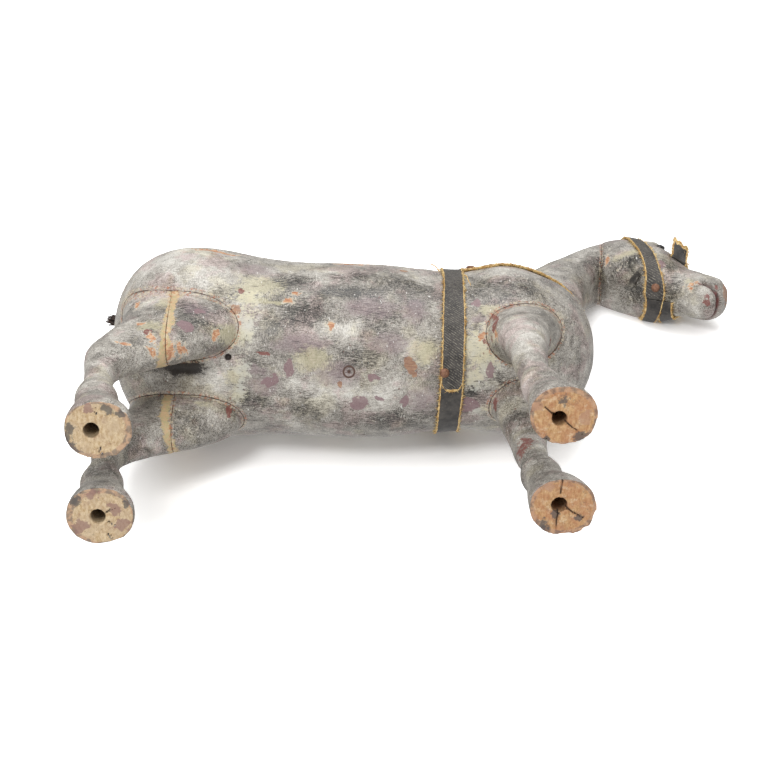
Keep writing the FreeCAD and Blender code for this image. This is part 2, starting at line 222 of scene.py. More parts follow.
def relaxed(mesh, points, weight, turns):
    """Points eased towards their neighbours' mean, as far as weight says."""
    edges = np.empty(len(mesh.edges) * 2, np.int32)
    mesh.edges.foreach_get("vertices", edges)
    a, b = edges.reshape(-1, 2).T
    ends, others = np.concatenate([a, b]), np.concatenate([b, a])
    count = np.maximum(np.bincount(ends, minlength=len(points)), 1)
    for _ in range(turns):
        mean = [np.bincount(ends, points[others, k], len(points)) / count for k in range(3)]
        points = points + (np.stack(mean, 1) - points) * weight[:, None]
    return points


def surface_of(obj):
    return BVHTree.FromObject(obj, bpy.context.evaluated_depsgraph_get())


def signed_distance(points, tree, near, reach=12.0):
    """Millimetres outside a closed surface, for the points where near is true; reach elsewhere."""
    out = np.full(len(points), reach)
    for i in np.nonzero(near)[0]:
        place, normal, _, gap = tree.find_nearest(Vector(points[i] * MM), reach * MM)
        if place is not None:
            side = 1.0 if (Vector(points[i] * MM) - place).dot(normal) >= 0 else -1.0
            out[i] = side * gap / MM
    return out


def near_box(points, name, margin):
    low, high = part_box(name)
    low, high = np.array(low) / MM - margin, np.array(high) / MM + margin
    return np.all((points > low) & (points < high), axis=1)


# ------------------------------------------------------------------ the carved form
class Joints:
    """Distances from points to the glue lines between the trunk and the blocks let into it."""

    def __init__(self):
        hull = bmesh.new()
        hull.from_mesh(frame["nodes"]["trunk"].data)
        bmesh.ops.convex_hull(hull, input=hull.verts)
        loose = [v for v in hull.verts if not v.link_faces]
        bmesh.ops.delete(hull, geom=loose, context="VERTS")
        keep = bmesh.ops.convex_hull(hull, input=hull.verts)
        unused = set(keep["geom_interior"]) | set(keep["geom_unused"])
        bmesh.ops.delete(hull, geom=[g for g in unused if isinstance(g, bmesh.types.BMVert)], context="VERTS")
        mesh = bpy.data.meshes.new("hull")
        hull.to_mesh(mesh)
        hull.free()
        self.hull = new_object("hull", mesh)
        self.hull = remeshed(self.hull, 3.0)
        inflated(self.hull, 2.2)
        self.inlays = ["neck"] + LEGS + THIGHS
        self.blocks = {name: cad_copy([name]) for name in self.inlays}
        self.trees = {name: surface_of(obj) for name, obj in self.blocks.items()}
        self.trunk = cad_copy(["trunk"])
        self.trunk_tree = surface_of(self.trunk)
        self.hull_tree = surface_of(self.hull)

    def creases(self, points):
        """1 in the hollow where a leg or the neck meets the trunk, 0 away from it."""
        weight = np.zeros(len(points))
        low = points[:, 2] > LEGS_FROM_Z
        for name in self.inlays:
            near = near_box(points, name, 8.0) & low
            block = signed_distance(points, self.trees[name], near)
            trunk = signed_distance(points, self.trunk_tree, near & (block < 8.0))
            both = np.maximum(np.abs(block), np.abs(trunk))
            weight = np.maximum(weight, 1 - smooth_step(3.0, 8.0, both))
        return weight

    def glue_lines(self, points):
        """1 on a glue line that shows on the surface, falling to 0 within two millimetres."""
        line = np.zeros(len(points))
        high = points[:, 2] > LEGS_FROM_Z
        inside = signed_distance(points, self.hull_tree, high) < 0.3
        for name in self.inlays:
            near = near_box(points, name, 4.0) & inside
            gap = signed_distance(points, self.trees[name], near) - LEG_SKIN
            line = np.maximum(line, np.exp(-(np.abs(gap) / 1.0) ** 1.4) * near)
        hind = (points[:, 0] < -50) & (points[:, 2] < 200)
        thigh = np.exp(-(((points[:, 0] - STIFLE_JOINT_X) / 0.8) ** 2)) * hind * ~inside
        body = to_body(points)
        cheek = ((body - np.array(HEAD_JOINT)) @ np.array(HEAD_JOINT_NORMAL)) / 0.8
        return np.maximum(line, np.maximum(thigh, np.exp(-(cheek**2))))

    def clear(self):
        for obj in [self.hull, self.trunk] + list(self.blocks.values()):
            drop(obj)


# Hoof soles: 1 fore or -1 hind, side, and cracks as (bearing in degrees, near radius, far radius).
SOLES = [
    (1, -1, [(142, 3, 14), (322, 3, 15), (240, 13, 18)]),
    (1, 1, [(84, 6, 17), (264, 4, 17), (328, 4, 17)]),
    (-1, -1, [(285, 10, 16), (75, 9, 13)]),
    (-1, 1, [(330, 6, 12), (25, 5, 11), (300, 12, 17)]),
]


def sole_polar(points, end, side):
    """Radius and bearing round one peg socket. Bearing 0 points forward and 90 to the horse's right."""
    dx = points[:, 0] - end * SOCKET_X
    dy = points[:, 1] - side * SOCKET_Y
    return np.hypot(dx, dy), np.degrees(np.arctan2(-dy, dx)) % 360


def sole_cracks(points):
    """1 along the drying cracks of the soles."""
    out = np.zeros(len(points))
    for end, side, cracks in SOLES:
        radius, bearing = sole_polar(points, end, side)
        wander = 6.0 * noise(points, 4.0, 5)
        for angle, near, far in cracks:
            turn = (bearing - angle + wander * 4 / np.maximum(radius, 3) + 180) % 360 - 180
            across = radius * np.sin(np.radians(turn))
            width = 0.62 * smooth_step(far + 1.0, far - 8.0, radius)
            run = (np.abs(turn) < 90) & (radius > near) & (radius < far + 1)
            line = np.exp(-((across / np.maximum(width, 0.05)) ** 2)) * run * (points[:, 2] < 6)
            out = np.maximum(out, line)
    return out


def bump(points, place, reach):
    """1 at place, falling to 0 at about one and a half times reach. Reach is a number or three numbers."""
    gap = (points - np.array(place, float)) / np.array(reach, float)
    return np.exp(-(gap**2).sum(1))


def mouth_line(body):
    """1 along the slit between the lips."""
    gap = (body - np.array([258.5, 0, 288.5])) @ np.array([0.66, 0.0, 0.75])
    return np.exp(-((gap / 1.2) ** 2)) * smooth_step(244, 249, body[:, 0]) * (body[:, 2] > 280)


def head_relief(body):
    """Carving of the head, as millimetres out of the surface."""
    p = body.copy()
    p[:, 1] -= head_middle(body[:, 0])
    p[:, 1] = np.abs(p[:, 1])
    out = 3.0 * bump(p, (223, 18.5, 362), (8, 6, 6))  # brow
    out -= 2.4 * bump(p, (228, 19.5, 353.5), (6.5, 5, 4.2))  # eye socket
    out += 1.5 * bump(p, (227, 20.5, 353.5), (3.6, 3.5, 1.8))  # eyeball under its lids
    out -= 1.0 * bump(p, (229, 20, 349.5), (5.5, 5, 1.1))  # lower lid
    out -= 1.5 * bump(p, (243, 15, 333), (8, 5, 7))  # hollow in front of the cheek
    out += 1.4 * bump(p, (210, 24, 338), (14, 6, 16))  # round of the cheek
    out -= 2.6 * bump(p, (208, 0, 314), (14, 5.5, 9))  # hollow between the jaw bones
    out += 1.6 * bump(p, (262, 8, 305), (4, 5, 5))  # wing of the nostril
    out -= 3.2 * bump(p, (263.5, 9.5, 304.5), (2.2, 3.5, 2.2))  # nostril
    out += 1.3 * bump(p, (252, 0, 289), (4.5, 9, 3.5))  # chin
    out += 1.0 * bump(p, (262, 0, 293), (3.5, 9, 4))  # upper lip
    out -= 2.8 * mouth_line(body)
    return out * (body[:, 2] > 275) * (body[:, 0] > 180)


# Straps, in body coordinates: (a point on the middle line, unit vector across the strap, half width).
GIRTH = ((72.8, 0.0, 198.0), (0.9994, 0.0349, 0.0), 6.9)
CHEEK = ((217.5, 0.0, 309.0), (0.9917, 0.0, 0.1286), 4.75)
NOSE = ((225.0, 0.0, 305.0), (0.9237, 0.0, -0.3830), 5.25)
BREAST = ((72.8, 0.0, 219.5), (0.1036, 0.0, -0.9946), 4.75)
STRAPS = {
    "girth_strap_left": GIRTH,
    "girth_strap_right": GIRTH,
    "breast_strap": BREAST,
    "cheek_strap_left": CHEEK,
    "cheek_strap_right": CHEEK,
    "noseband": NOSE,
}


def across_strap(body, line):
    return (body - np.array(line[0])) @ np.array(line[1])


def under_leather(body):
    """1 where a strap lies on the wood, so that the wood stays plain there."""
    x, y, z = body.T
    out = np.zeros(len(body))
    for line, here in (
        (GIRTH, z < 275),
        (CHEEK, (z > 285) & (x > 185)),
        (NOSE, (z > 285) & (x > 185)),
        (BREAST, (x > 78) & (z < 245) & (np.abs(y) > 12)),
    ):
        gap = np.abs(across_strap(body, line))
        out = np.maximum(out, (1 - smooth_step(line[2] + 0.3, line[2] + 2.2, gap)) * here)
    return out


def carved(voxel, joints):
    """The whole wooden form in one skin: creases eased, then carved, worn and cracked."""
    obj = remeshed(cad_copy(WOOD + DOWELS), voxel)
    mesh = obj.data
    points = points_of(mesh)
    points = relaxed(mesh, points, 0.5 * (points[:, 2] > 12), 2)
    crease = joints.creases(points)
    points = relaxed(mesh, points, 0.6 * crease, int(30 / voxel))
    set_points(mesh, points)
    body = to_body(points)
    sole = smooth_step(1.2, 0.4, points[:, 2])
    plain = under_leather(body)
    height = 0.42 * noise(points, 24, 1) + 0.26 * noise(points, 10, 2) + 0.1 * rough(points, 4, 3)
    height *= (1 - 0.9 * plain) * (1 - 0.75 * sole)
    height += head_relief(body) * (1 - 0.55 * plain)
    height -= 0.45 * joints.glue_lines(points) * (1 - plain)
    height -= 1.9 * sole_cracks(points) * smooth_step(3.0, 0.5, points[:, 2])
    height -= 0.35 * chips(points) * (1 - plain)
    height -= 2.6 * smooth_step(0.55, 0.85, mark_field(points, "hole")) + 3.0 * mark_field(points, "gap")
    ring = mark_field(points, "ring")
    height -= 0.9 * smooth_step(0.8, 0.95, ring) + 0.4 * smooth_step(0.15, 0.3, ring) * (ring < 0.5)
    points = points + normals_of(mesh) * height[:, None]
    set_points(mesh, points)
    for end, side, _ in SOLES:
        points = worn_rim(points, end, side)
    points[:, 2] = np.maximum(points[:, 2], 0.0)
    set_points(mesh, set_hoofs(points))
    return obj


def worn_rim(points, end, side):
    """The sole's edge, rounded and broken by wear."""
    radius, _ = sole_polar(points, end, side)
    here = (radius > 9) & (radius < 32) & (points[:, 2] < 4) & (np.sign(points[:, 1]) == side)
    edge = smooth_step(12.0, 17.5, radius) * smooth_step(4.0, 0.0, points[:, 2]) * here
    bite = edge * (0.15 + 1.1 * np.clip(noise(points, 4.5, 9) - 0.1, 0, 1))
    centre = np.array([end * SOCKET_X, side * SOCKET_Y, 6.0])
    inward = centre - points
    inward[:, 2] *= 0.5
    inward /= np.linalg.norm(inward, axis=1, keepdims=True)
    return points + inward * bite[:, None]


def set_hoofs(points):
    """The hind hoofs stand a little forward or back of their peg sockets, each in its own way."""
    low = smooth_step(60.0, 10.0, points[:, 2]) * (points[:, 0] < 0)
    moved = points.copy()
    for side, shift in ((-1, 1.2), (1, -1.4)):
        radius, _ = sole_polar(points, -1, side)
        free = smooth_step(5.0, 10.0, radius) * (np.sign(points[:, 1]) == side)
        moved[:, 0] += shift * low * free
    return moved


# ------------------------------------------------------------------ where the paint is hurt, and where light and shade are painted
# At least 28 rows of BARREL_MARKS and LIMB_MARKS hold numbers that a ray-casting helper outside this
# script printed, exact or rounded, and others were set with its output at hand. No place in the
# three tables is worked out from the frame, so they aren't an example to follow.
# On the barrel, by kind: (x, degrees round from the belly line, half length along x, half width round).
BARREL_MARKS = {
    "raw": [
        (-25.6, 51, 3.4, 2.4), (-21.5, 56, 2.0, 1.6), (0, 32, 2.8, 2.8), (12, 101, 10, 3.0),
        (-70, 103, 14, 2.0), (91.4, 27, 2.4, 2.8),
    ],
    "cream": [
        (-34, 49, 12, 1.6), (-12, 12, 12, 7), (-46, 62, 16, 9), (56, 18, 10, 7), (-60, 26, 12, 6),
        (95, 47, 7, 4), (-44, 50, 8, 2),
    ],
    "rust": [
        (46.8, 9, 2.8, 4.6), (49, 4, 1.6, 2.4), (-75, 96, 2.5, 1.2), (45, 88, 3, 2.0),
        (3.4, -2, 1.0, 2.2), (-58, 44, 4, 2),
    ],
    "plum": [
        (16.5, -15, 5.6, 4.6), (30, -11, 2.0, 1.4), (44, -14, 1.6, 4.0), (26, 3, 4.0, 1.4),
        (-26, 6, 3.0, 5.0), (-36, -3, 5.0, 3.0), (88, 52, 3.6, 2.6), (96.9, 6, 2.6, 5.4), (83, -18, 7, 5),
    ],
    "ring": [
        (10.7, 5, 2.4, 2.4),
    ],
    "hole": [
        (-62.6, 12, 2.6, 2.6),
    ],
    # Painted shade: the gap row is the cleft between the thighs, carved in and coloured near black.
    "gap": [
        (-90, 3, 15, 4.6),
    ],
    "red": [
        (-40, 16, 5, 1.0), (94, 24, 1.4, 3.4), (98, 40, 1.6, 5), (-55, 58, 2.2, 1.8),
    ],
    "mauve": [
        (-40, -6, 9, 8), (-45, 4, 6, 2), (35, 22, 14, 6), (24, 44, 18, 7), (50, 44, 8, 10),
        (56, -14, 10, 10), (2, 4, 14, 8), (-20, 22, 16, 6), (88, 40, 5, 4), (-50, 78, 12, 8),
    ],
    "smudge": [
        (-24, 68, 13, 6), (8, 73, 14, 5), (44, 68, 12, 6), (10, 56, 16, 4), (-12, 36, 18, 3),
        (-14, 44, 12, 5), (30, 40, 12, 9), (12, 14, 14, 5), (-18, -18, 12, 7), (-44, -20, 10, 6),
        (40, -28, 16, 6), (103, -1, 2.2, 4.4), (84, -8, 7, 4), (87, 70, 10, 12), (112, 72, 16, 12),
    ],
    "pale": [
        (-5, 66, 9, 5), (50, 21, 8, 5), (-5, -8, 26, 8), (0, 74, 10, 7), (6, 31, 12, 3),
        # The last two rows below, high on the rump's right side, are partly paler paint and partly painted
        # light on the side that faces -Y.
        (30, -10, 18, 10), (-62, 40, 10, 10), (-70, -8, 10, 9), (-104, 86, 24, 26), (-84, 70, 22, 12),
    ],
    "white": [
        (87, 19, 10, 12), (95, 9, 6, 8), (87, 0, 8, 6), (90, -22, 6, 4), (-50, 52, 9, 5),
        (-52, 34, 6, 12), (-54, 4, 5, 9), (-56, -14, 5, 8),
    ],
    # Painted shade: the barrel's dim row darkens a long band along the right flank.
    "dim": [
        (15, 64, 50, 8),
    ],
}
# On the soles, by kind: (1 fore or -1 hind, side, bearing, distance from the socket, reach).
SOLE_MARKS = {
    "grease": [
        (-1, -1, 195, 13, 4.6), (-1, -1, 170, 10, 3.4), (-1, -1, 222, 14, 4.0), (-1, -1, 48, 16, 3.0),
        (-1, -1, 28, 18, 3.0), (-1, 1, 140, 16, 4.6), (-1, 1, 25, 17, 3.0), (1, -1, 84, 11, 4.2),
        (1, -1, 318, 16, 3.4), (1, -1, 232, 14, 3.2), (1, 1, 228, 15, 4.4), (1, 1, 262, 5, 3.4),
        (1, 1, 320, 12, 2.4),
    ],
    "old": [
        (-1, -1, 85, 12, 3.6), (-1, 1, 90, 12.5, 4.4), (-1, 1, 205, 12, 4.8), (-1, 1, 25, 9, 3.6),
        (-1, 1, 340, 13, 4.4), (1, -1, 5, 13, 4.4), (1, -1, 150, 14, 3.6), (1, 1, 120, 12, 4.0),
    ],
}
# On legs and head, by kind, in world millimetres: (place, reach).
LIMB_MARKS = {
    "raw": [
        ((-116, -43, 163), (2.4, 6, 7)), ((-111.5, -42, 132.6), (4.6, 6, 2.6)),
        ((-103.5, -37, 117.6), (2.6, 6, 4)), ((-118, -37, 107.4), (4.4, 6, 2.2)),
        ((-95, -27, 118), (5, 6, 3)), ((-88, -27, 122), (7, 6, 2.6)), ((-104, -30, 112), (6, 6, 2.6)),
        ((-68.3, -30, 136.2), (2.6, 5, 4)), ((98, -29, 132), (2.5, 5, 7)), ((222, -15, 312), (2.4, 5, 3)),
        ((241, -6, 299), (3.4, 5, 3)), ((246, -9, 300), (4, 5, 3)), ((238, -8, 300), (4, 6, 3)),
        ((224, -16, 314), (4, 5, 4)), ((188, -14, 340), (3, 7, 5)), ((193, -10, 330), (4, 5, 3)),
    ],
    "red": [
        ((-105, -38, 122), (3, 5, 3)), ((-62, 18, 146), (2.4, 10, 5)), ((98, -31, 142), (2.5, 5, 8)),
        ((134, -22, 133), (2.0, 5, 6)), ((99, 18, 138), (3, 6, 5)), ((113, 24, 74), (8, 10, 14)),
        ((249, -9, 297), (5, 5, 3)), ((255, -5, 292), (4.4, 6, 2.6)), ((250, 4, 289), (4, 6, 3)),
    ],
    "plum": [
        ((-86, -36, 134), (5, 6, 4)), ((-78, -40, 146), (5, 6, 3)), ((223, -14, 319), (3, 5, 5)),
    ],
    "cream": [
        ((-101, -44, 158), (5, 8, 8)), ((-92, -44, 166), (4, 8, 6)), ((-104, -37, 128), (14, 9, 6)),
        ((-58, 12, 147), (6, 8, 6)), ((-60, 0, 147), (8, 6, 5)), ((96, -24, 136), (3, 4, 9)),
        ((240, -10, 304), (6, 6, 5)), ((219, -16, 326), (4, 5, 6)), ((206, -18, 336), (10, 6, 4)),
        ((-96, 22, 134), (8, 10, 7)), ((-84, 16, 142), (12, 5, 4)), ((120, 26, 96), (7, 9, 10)),
        ((196, -16, 338), (9, 8, 5)),
    ],
    "smudge": [
        ((-121, -33, 93), (8, 6, 9)), ((-62, -44, 160), (5, 8, 8)), ((-76, -44, 168), (12, 8, 6)),
        ((-74, -32, 140), (14, 8, 5)), ((-104, 26, 138), (22, 12, 14)), ((-72, 38, 150), (9, 8, 9)),
        ((102, -20, 136), (6, 7, 9)), ((112, 22, 118), (9, 8, 12)), ((112, 28, 52), (8, 10, 10)),
        ((230, 2, 304), (7, 7, 4)), ((-84, -43, 148), (10, 9, 7)), ((-66, -38, 152), (7, 8, 8)),
        ((104, -20, 110), (6, 8, 18)), ((-128, 22, 60), (8, 10, 18)), ((-130, 26, 100), (10, 10, 10)),
        ((232, -13, 318), (9, 7, 8)), ((205, -12, 330), (13, 12, 7)), ((203, 8, 318), (12, 12, 6)),
        ((182, -8, 338), (5, 14, 12)),
    ],
    "mauve": [
        ((-80, -40, 150), (12, 9, 9)), ((-98, 34, 146), (16, 10, 12)), ((247, -12, 304), (5, 5, 4)),
        ((126, -26, 100), (5, 9, 14)),
    ],
    "pale": [
        ((246, 6, 292), (7, 8, 6)), ((-112, -44, 160), (8, 8, 8)), ((-120, -38, 88), (14, 12, 24)),
        ((110, -34, 110), (14, 12, 34)), ((112, -28, 40), (8, 9, 12)), ((-130, -26, 60), (8, 8, 16)),
    ],
    "rust": [
        ((266, 2, 297), (4.4, 11, 9)),
    ],
    # Painted shade: a groove on the head, carved in and coloured near black.
    "gap": [
        ((200, -6, 319), (16, 10, 1.4)),
    ],
    "dim": [
        ((-80, -42, 148), (22, 12, 18)), ((-124, 34, 96), (20, 14, 30)),
    ],
}


def warped(points):
    """Points pushed about at random, so that a mark's outline is ragged."""
    push = [2.4 * noise(points, 7.0, 80 + k) + 1.1 * noise(points, 2.6, 84 + k) for k in range(3)]
    return points + np.stack(push, 1)


def mark_field(points, kind):
    """How strongly one kind of mark shows, from 0 to about 1."""
    out = np.zeros(len(points))
    body = to_body(points)
    angle = barrel_angle(body)
    on_barrel = (body[:, 0] < 125) & (body[:, 2] > 130)
    for x, around, half_x, half_round in BARREL_MARKS.get(kind, []):
        arc = np.radians((angle - around + 180) % 360 - 180) * BARREL_RADIUS
        gap = ((body[:, 0] - x) / half_x) ** 2 + (arc / half_round) ** 2
        out = np.maximum(out, np.exp(-0.7 * gap) * on_barrel)
    for place, reach in LIMB_MARKS.get(kind, []):
        out = np.maximum(out, bump(points, place, reach))
    for end, side, bearing, out_to, reach in SOLE_MARKS.get(kind, []):
        turn = math.radians(bearing)
        x = end * SOCKET_X + out_to * math.cos(turn)
        y = side * SOCKET_Y - out_to * math.sin(turn)
        out = np.maximum(out, bump(points, (x, y, 0.0), (reach, reach, 3.0)))
    return out


KINDS = [
    "dim", "raw", "rust", "red", "plum", "ring", "hole", "gap",
    "mauve", "cream", "white", "smudge", "pale", "grease", "old",
]


def chips(points):
    """Where paint has flaked off, with broken edges."""
    ragged = warped(points)
    marks = mark_field(ragged, "raw") + 0.7 * mark_field(ragged, "red") + 0.8 * mark_field(ragged, "rust")
    return smooth_step(0.42, 0.58, marks + 0.22 * noise(points, 3.0, 21))


def sole_rim(points):
    """0 inside a sole, rising to 1 at its edge."""
    across = (np.abs(points[:, 0]) - SOCKET_X - SOLE_AHEAD * np.sign(points[:, 0])) / SOLE_HALF_LENGTH
    aside = (np.abs(points[:, 1]) - SOLE_MIDDLE_Y) / SOLE_HALF_WIDTH
    return smooth_step(0.74, 0.97, np.hypot(across, aside)) * (points[:, 2] < 6)


def end_grain(points):
    """1 on the sawn soles and inside the peg sockets and cracks."""
    out = smooth_step(0.9, 0.25, points[:, 2])
    out = np.maximum(out, (sole_cracks(points) > 0.02) * (points[:, 2] < 3.0) * (sole_rim(points) < 0.9))
    for end, side, _ in SOLES:
        radius, _ = sole_polar(points, end, side)
        out = np.maximum(out, (radius < 5.2) & (points[:, 2] < 24))
    return out


def write_attribute(mesh, name, values):
    attribute = mesh.attributes.get(name) or mesh.attributes.new(name, "FLOAT", "POINT")
    attribute.data.foreach_set("value", np.asarray(values, np.float32))


def paint_attributes(mesh, joints, is_thigh):
    points = points_of(mesh)
    body = to_body(points)
    ragged = warped(points)
    for kind in KINDS:
        write_attribute(mesh, kind, mark_field(points if kind in ("ring", "hole") else ragged, kind))
    wander = 1.4 * noise(points, 9.0, 90) - 0.17 * (np.abs(points[:, 1]) - 36.0)
    seat = np.exp(-(((points[:, 0] - STIFLE_JOINT_X + wander) / 3.4) ** 2))
    write_attribute(mesh, "filler", seat * is_thigh * smooth_step(104, 112, points[:, 2]))
    write_attribute(mesh, "end", end_grain(points))
    write_attribute(mesh, "rim", sole_rim(points))
    write_attribute(mesh, "mouth", mouth_line(body))
    write_attribute(mesh, "seam", joints.glue_lines(points))
    write_attribute(mesh, "crack", sole_cracks(points))


# ------------------------------------------------------------------ cutting the form back into its blocks
def loose_pieces(obj):
    """Separate closed pieces of an object, as new objects."""
    bm = bmesh.new()
    bm.from_mesh(obj.data)
    bm.verts.ensure_lookup_table()
    seen = np.zeros(len(bm.verts), bool)
    made = []
    for start in bm.verts:
        if seen[start.index]:
            continue
        group, stack = [], [start]
        seen[start.index] = True
        while stack:
            vert = stack.pop()
            group.append(vert.index)
            for edge in vert.link_edges:
                other = edge.other_vert(vert)
                if not seen[other.index]:
                    seen[other.index] = True
                    stack.append(other)
        made.append(group)
    pieces = []
    for group in made:
        if len(group) < CRUMB_VERTS:
            continue
        renumber = {old: new for new, old in enumerate(group)}
        chosen = set(group)
        faces = [f for f in bm.faces if f.verts[0].index in chosen]
        points = np.array([bm.verts[i].co for i in group], float) / MM
        mesh = mesh_from("piece", points, [[renumber[v.index] for v in f.verts] for f in faces])
        pieces.append(new_object("piece", mesh))
    bm.free()
    drop(obj)
    return pieces


def half_space(place, normal):
    """A large block whose face passes through place and whose inside lies along the normal."""
    size = 700.0
    n = Vector(normal).normalized()
    turn = n.to_track_quat("Z", "Y").to_matrix()
    bm = bmesh.new()
    bmesh.ops.create_cube(bm, size=1.0)
    mesh = bpy.data.meshes.new("half")
    bm.to_mesh(mesh)
    bm.free()
    corners = points_of(mesh) * MM * size
    corners[:, 2] += size / 2
    turned = corners @ np.array(turn).T + np.array(place)
    set_points(mesh, turned)
    return new_object("half", mesh)


def split(obj, place, normal, names):
    """Two pieces on either side of a plane, with a hairline between them. The first lies along the normal."""
    n = np.array(normal, float)
    made = []
    for name, sign in zip(names, (1, -1)):
        block = half_space(np.array(place) + n * sign * CRACK / 2, n * sign)
        piece = boolean(copy_of(obj, name), block, "INTERSECT")
        piece.name = name
        drop(block)
        made.append(piece)
    drop(obj)
    return made


def sides_of(piece):
    """A piece on one side of the horse as it is; one that spans the middle below the neck, as two halves."""
    points = points_of(piece.data)
    if points[:, 2].max() > HEAD_PART_FROM_Z or points[:, 1].min() > -10 or points[:, 1].max() < 10:
        return [piece]
    return split(piece, (0, 0, 0), (0, 1, 0), ("left_half", "right_half"))


def wooden_blocks(joints):
    """Every wooden block as its own closed mesh, by CAD node name."""
    socket = copy_of(joints.hull)
    for name in joints.inlays:
        block = inflated(copy_of(joints.blocks[name]), LEG_SKIN)
        socket = boolean(socket, block, "DIFFERENCE")
        drop(block)
    limbs = boolean(carved(FINE_VOXEL, joints), socket, "DIFFERENCE")
    drop(socket)
    trunk = boolean(carved(TRUNK_VOXEL, joints), joints.hull, "INTERSECT")
    for name in joints.inlays:
        block = inflated(copy_of(joints.blocks[name]), LEG_SKIN + CRACK)
        trunk = boolean(trunk, block, "DIFFERENCE")
        drop(block)
    trunk = max(loose_pieces(trunk), key=lambda obj: len(obj.data.vertices))
    made = {"trunk": trunk}
    for piece in [half for whole in loose_pieces(limbs) for half in sides_of(whole)]:
        middle = points_of(piece.data).mean(0)
        side = "right" if middle[1] < 0 else "left"
        if middle[2] > HEAD_PART_FROM_Z:
            place = to_world([HEAD_JOINT])[0]
            normal = to_world([HEAD_JOINT_NORMAL])[0]
            head, neck = split(piece, place, normal, ("head_wood", "neck_wood"))
            made.update(head=head, neck=neck)
        elif middle[0] < 0:
            front, rear = split(piece, (STIFLE_JOINT_X, 0, 0), (1, 0, 0), ("front", "rear"))
            made["stifle_block_" + side] = front
            made["hind_leg_" + side] = rear
        else:
            made["foreleg_" + side] = piece
    return made


# ------------------------------------------------------------------ leather, hair and tacks
TONGUE_ROUND_DEG, TONGUE_REACH_DEG = 2.0, 8.3
FLAP_ROOT, FLAP_TIP = np.array((238.5, -21.5, 338.0)), np.array((239.5, -32.5, 341.5))
FLAP_ALONG = np.array((9.7, 5.5, -4.0))
EAR_FOOT, EAR_ROOT, EAR_TIP = (
    np.array(place) for place in ((217.7, 9.0, 374.5), (215.9, 10.0, 385.3), (213.4, 12.5, 398.0))
)
EAR_ALONG = np.array([0.0, 8.0, -4.1])
TAIL_EXIT, TAIL_TIP = np.array((-132.5, 0.0, 245.5)), np.array((-148.0, 0.0, 251.5))
FRAY_SPACING = 0.55  # millimetres of cut edge to each loose fibre


def unit(vectors):
    return vectors / np.maximum(np.linalg.norm(vectors, axis=-1, keepdims=True), 1e-9)


def turned(vectors):
    """Directions in body coordinates, turned to world coordinates."""
    return to_world(np.atleast_2d(vectors))


def outward_of(points, tree):
    """The wood's own normal at the nearest spot under each point."""
    return np.array([tree.find_nearest(Vector(p * MM))[1] for p in points])


def along_strap(name, body):
    """Millimetres along a strap, measured round the barrel or round the head."""
    if name.startswith("girth"):
        return np.radians(barrel_angle(body)) * 57.0
    return np.arctan2(body[:, 1] - head_middle(body[:, 0]), body[:, 2] - 345.0) * 27.0


def leather_strap(name, wood_tree):
    """A strap from its CAD solid: cut edges ragged and curling, face wavy, tongue rounded."""
    obj = remeshed(cad_copy([name]), STRAP_VOXEL)
    mesh = obj.data
    points = relaxed(mesh, points_of(mesh), np.full(len(mesh.vertices), 0.5), 2)
    line = STRAPS[name]
    body = to_body(points)
    across = across_strap(body, line)
    out = outward_of(points, wood_tree)
    edge = smooth_step(line[2] - 1.3, line[2] - 0.35, np.abs(across))
    wander = 0.5 * noise(points, 34, 31)
    ragged = 0.3 * noise(points, 6.0, 32) + 0.32 * noise(points, 1.7, 33)
    scale = np.ones(len(points))
    if name == "girth_strap_right":
        angle = barrel_angle(body)
        into_end = np.clip((TONGUE_ROUND_DEG - angle) / TONGUE_REACH_DEG, 0, 0.97)
        scale = np.sqrt(1 - into_end**2) * (1 - 0.09 * smooth_step(35, 70, angle))
        tip = smooth_step(-3.5, -5.5, angle) * (np.abs(angle) < 20)
        edge = np.maximum(edge, tip)
    if name.startswith("cheek"):
        scale = 0.92 + 0.5 * bump(body, (217.5, -7.0, 308.0), (14, 9, 9))
    shift = across * (scale - 1) + np.sign(across) * ragged * edge + wander
    points += turned(np.array([line[1]])) * shift[:, None]
    lift = edge * (0.3 + 0.35 * noise(points, 8.0, 34)) + 0.14 * noise(points, 9.0, 35)
    lift += 0.05 * noise(points, 1.4, 36)
    points += out * np.clip(lift, -0.2, 0.9)[:, None]
    set_points(mesh, points)
    write_attribute(mesh, "edge", edge)
    write_attribute(mesh, "across", across)
    write_attribute(mesh, "along", along_strap(name, body))
    return obj


def tube(path, radii, sides=4):
    """Points and faces of one thin tapering strand along a path."""
    path = np.asarray(path, float)
    run = unit(np.gradient(path, axis=0))
    spare = np.array([0.0, 0.0, 1.0]) if abs(run[0, 2]) < 0.9 else np.array([1.0, 0.0, 0.0])
    first = unit(np.cross(run, spare))
    second = np.cross(run, first)
    turn = 2 * math.pi * np.arange(sides) / sides
    ring = first[:, None] * np.cos(turn)[None, :, None] + second[:, None] * np.sin(turn)[None, :, None]
    points = (path[:, None] + ring * np.asarray(radii)[:, None, None]).reshape(-1, 3)
    faces = []
    for k in range(len(path) - 1):
        for j in range(sides):
            i = (j + 1) % sides
            faces.append((k * sides + j, k * sides + i, (k + 1) * sides + i, (k + 1) * sides + j))
    faces.append(tuple(reversed(range(sides))))
    faces.append(tuple(range((len(path) - 1) * sides, len(path) * sides)))
    return points, faces


def strands(name, tubes):
    """One object from many strands."""
    points, faces, base = [], [], 0
    for tube_points, tube_faces in tubes:
        points.append(tube_points)
        faces += [tuple(base + i for i in face) for face in tube_faces]
        base += len(tube_points)
    return new_object(name, mesh_from(name, np.concatenate(points), faces))


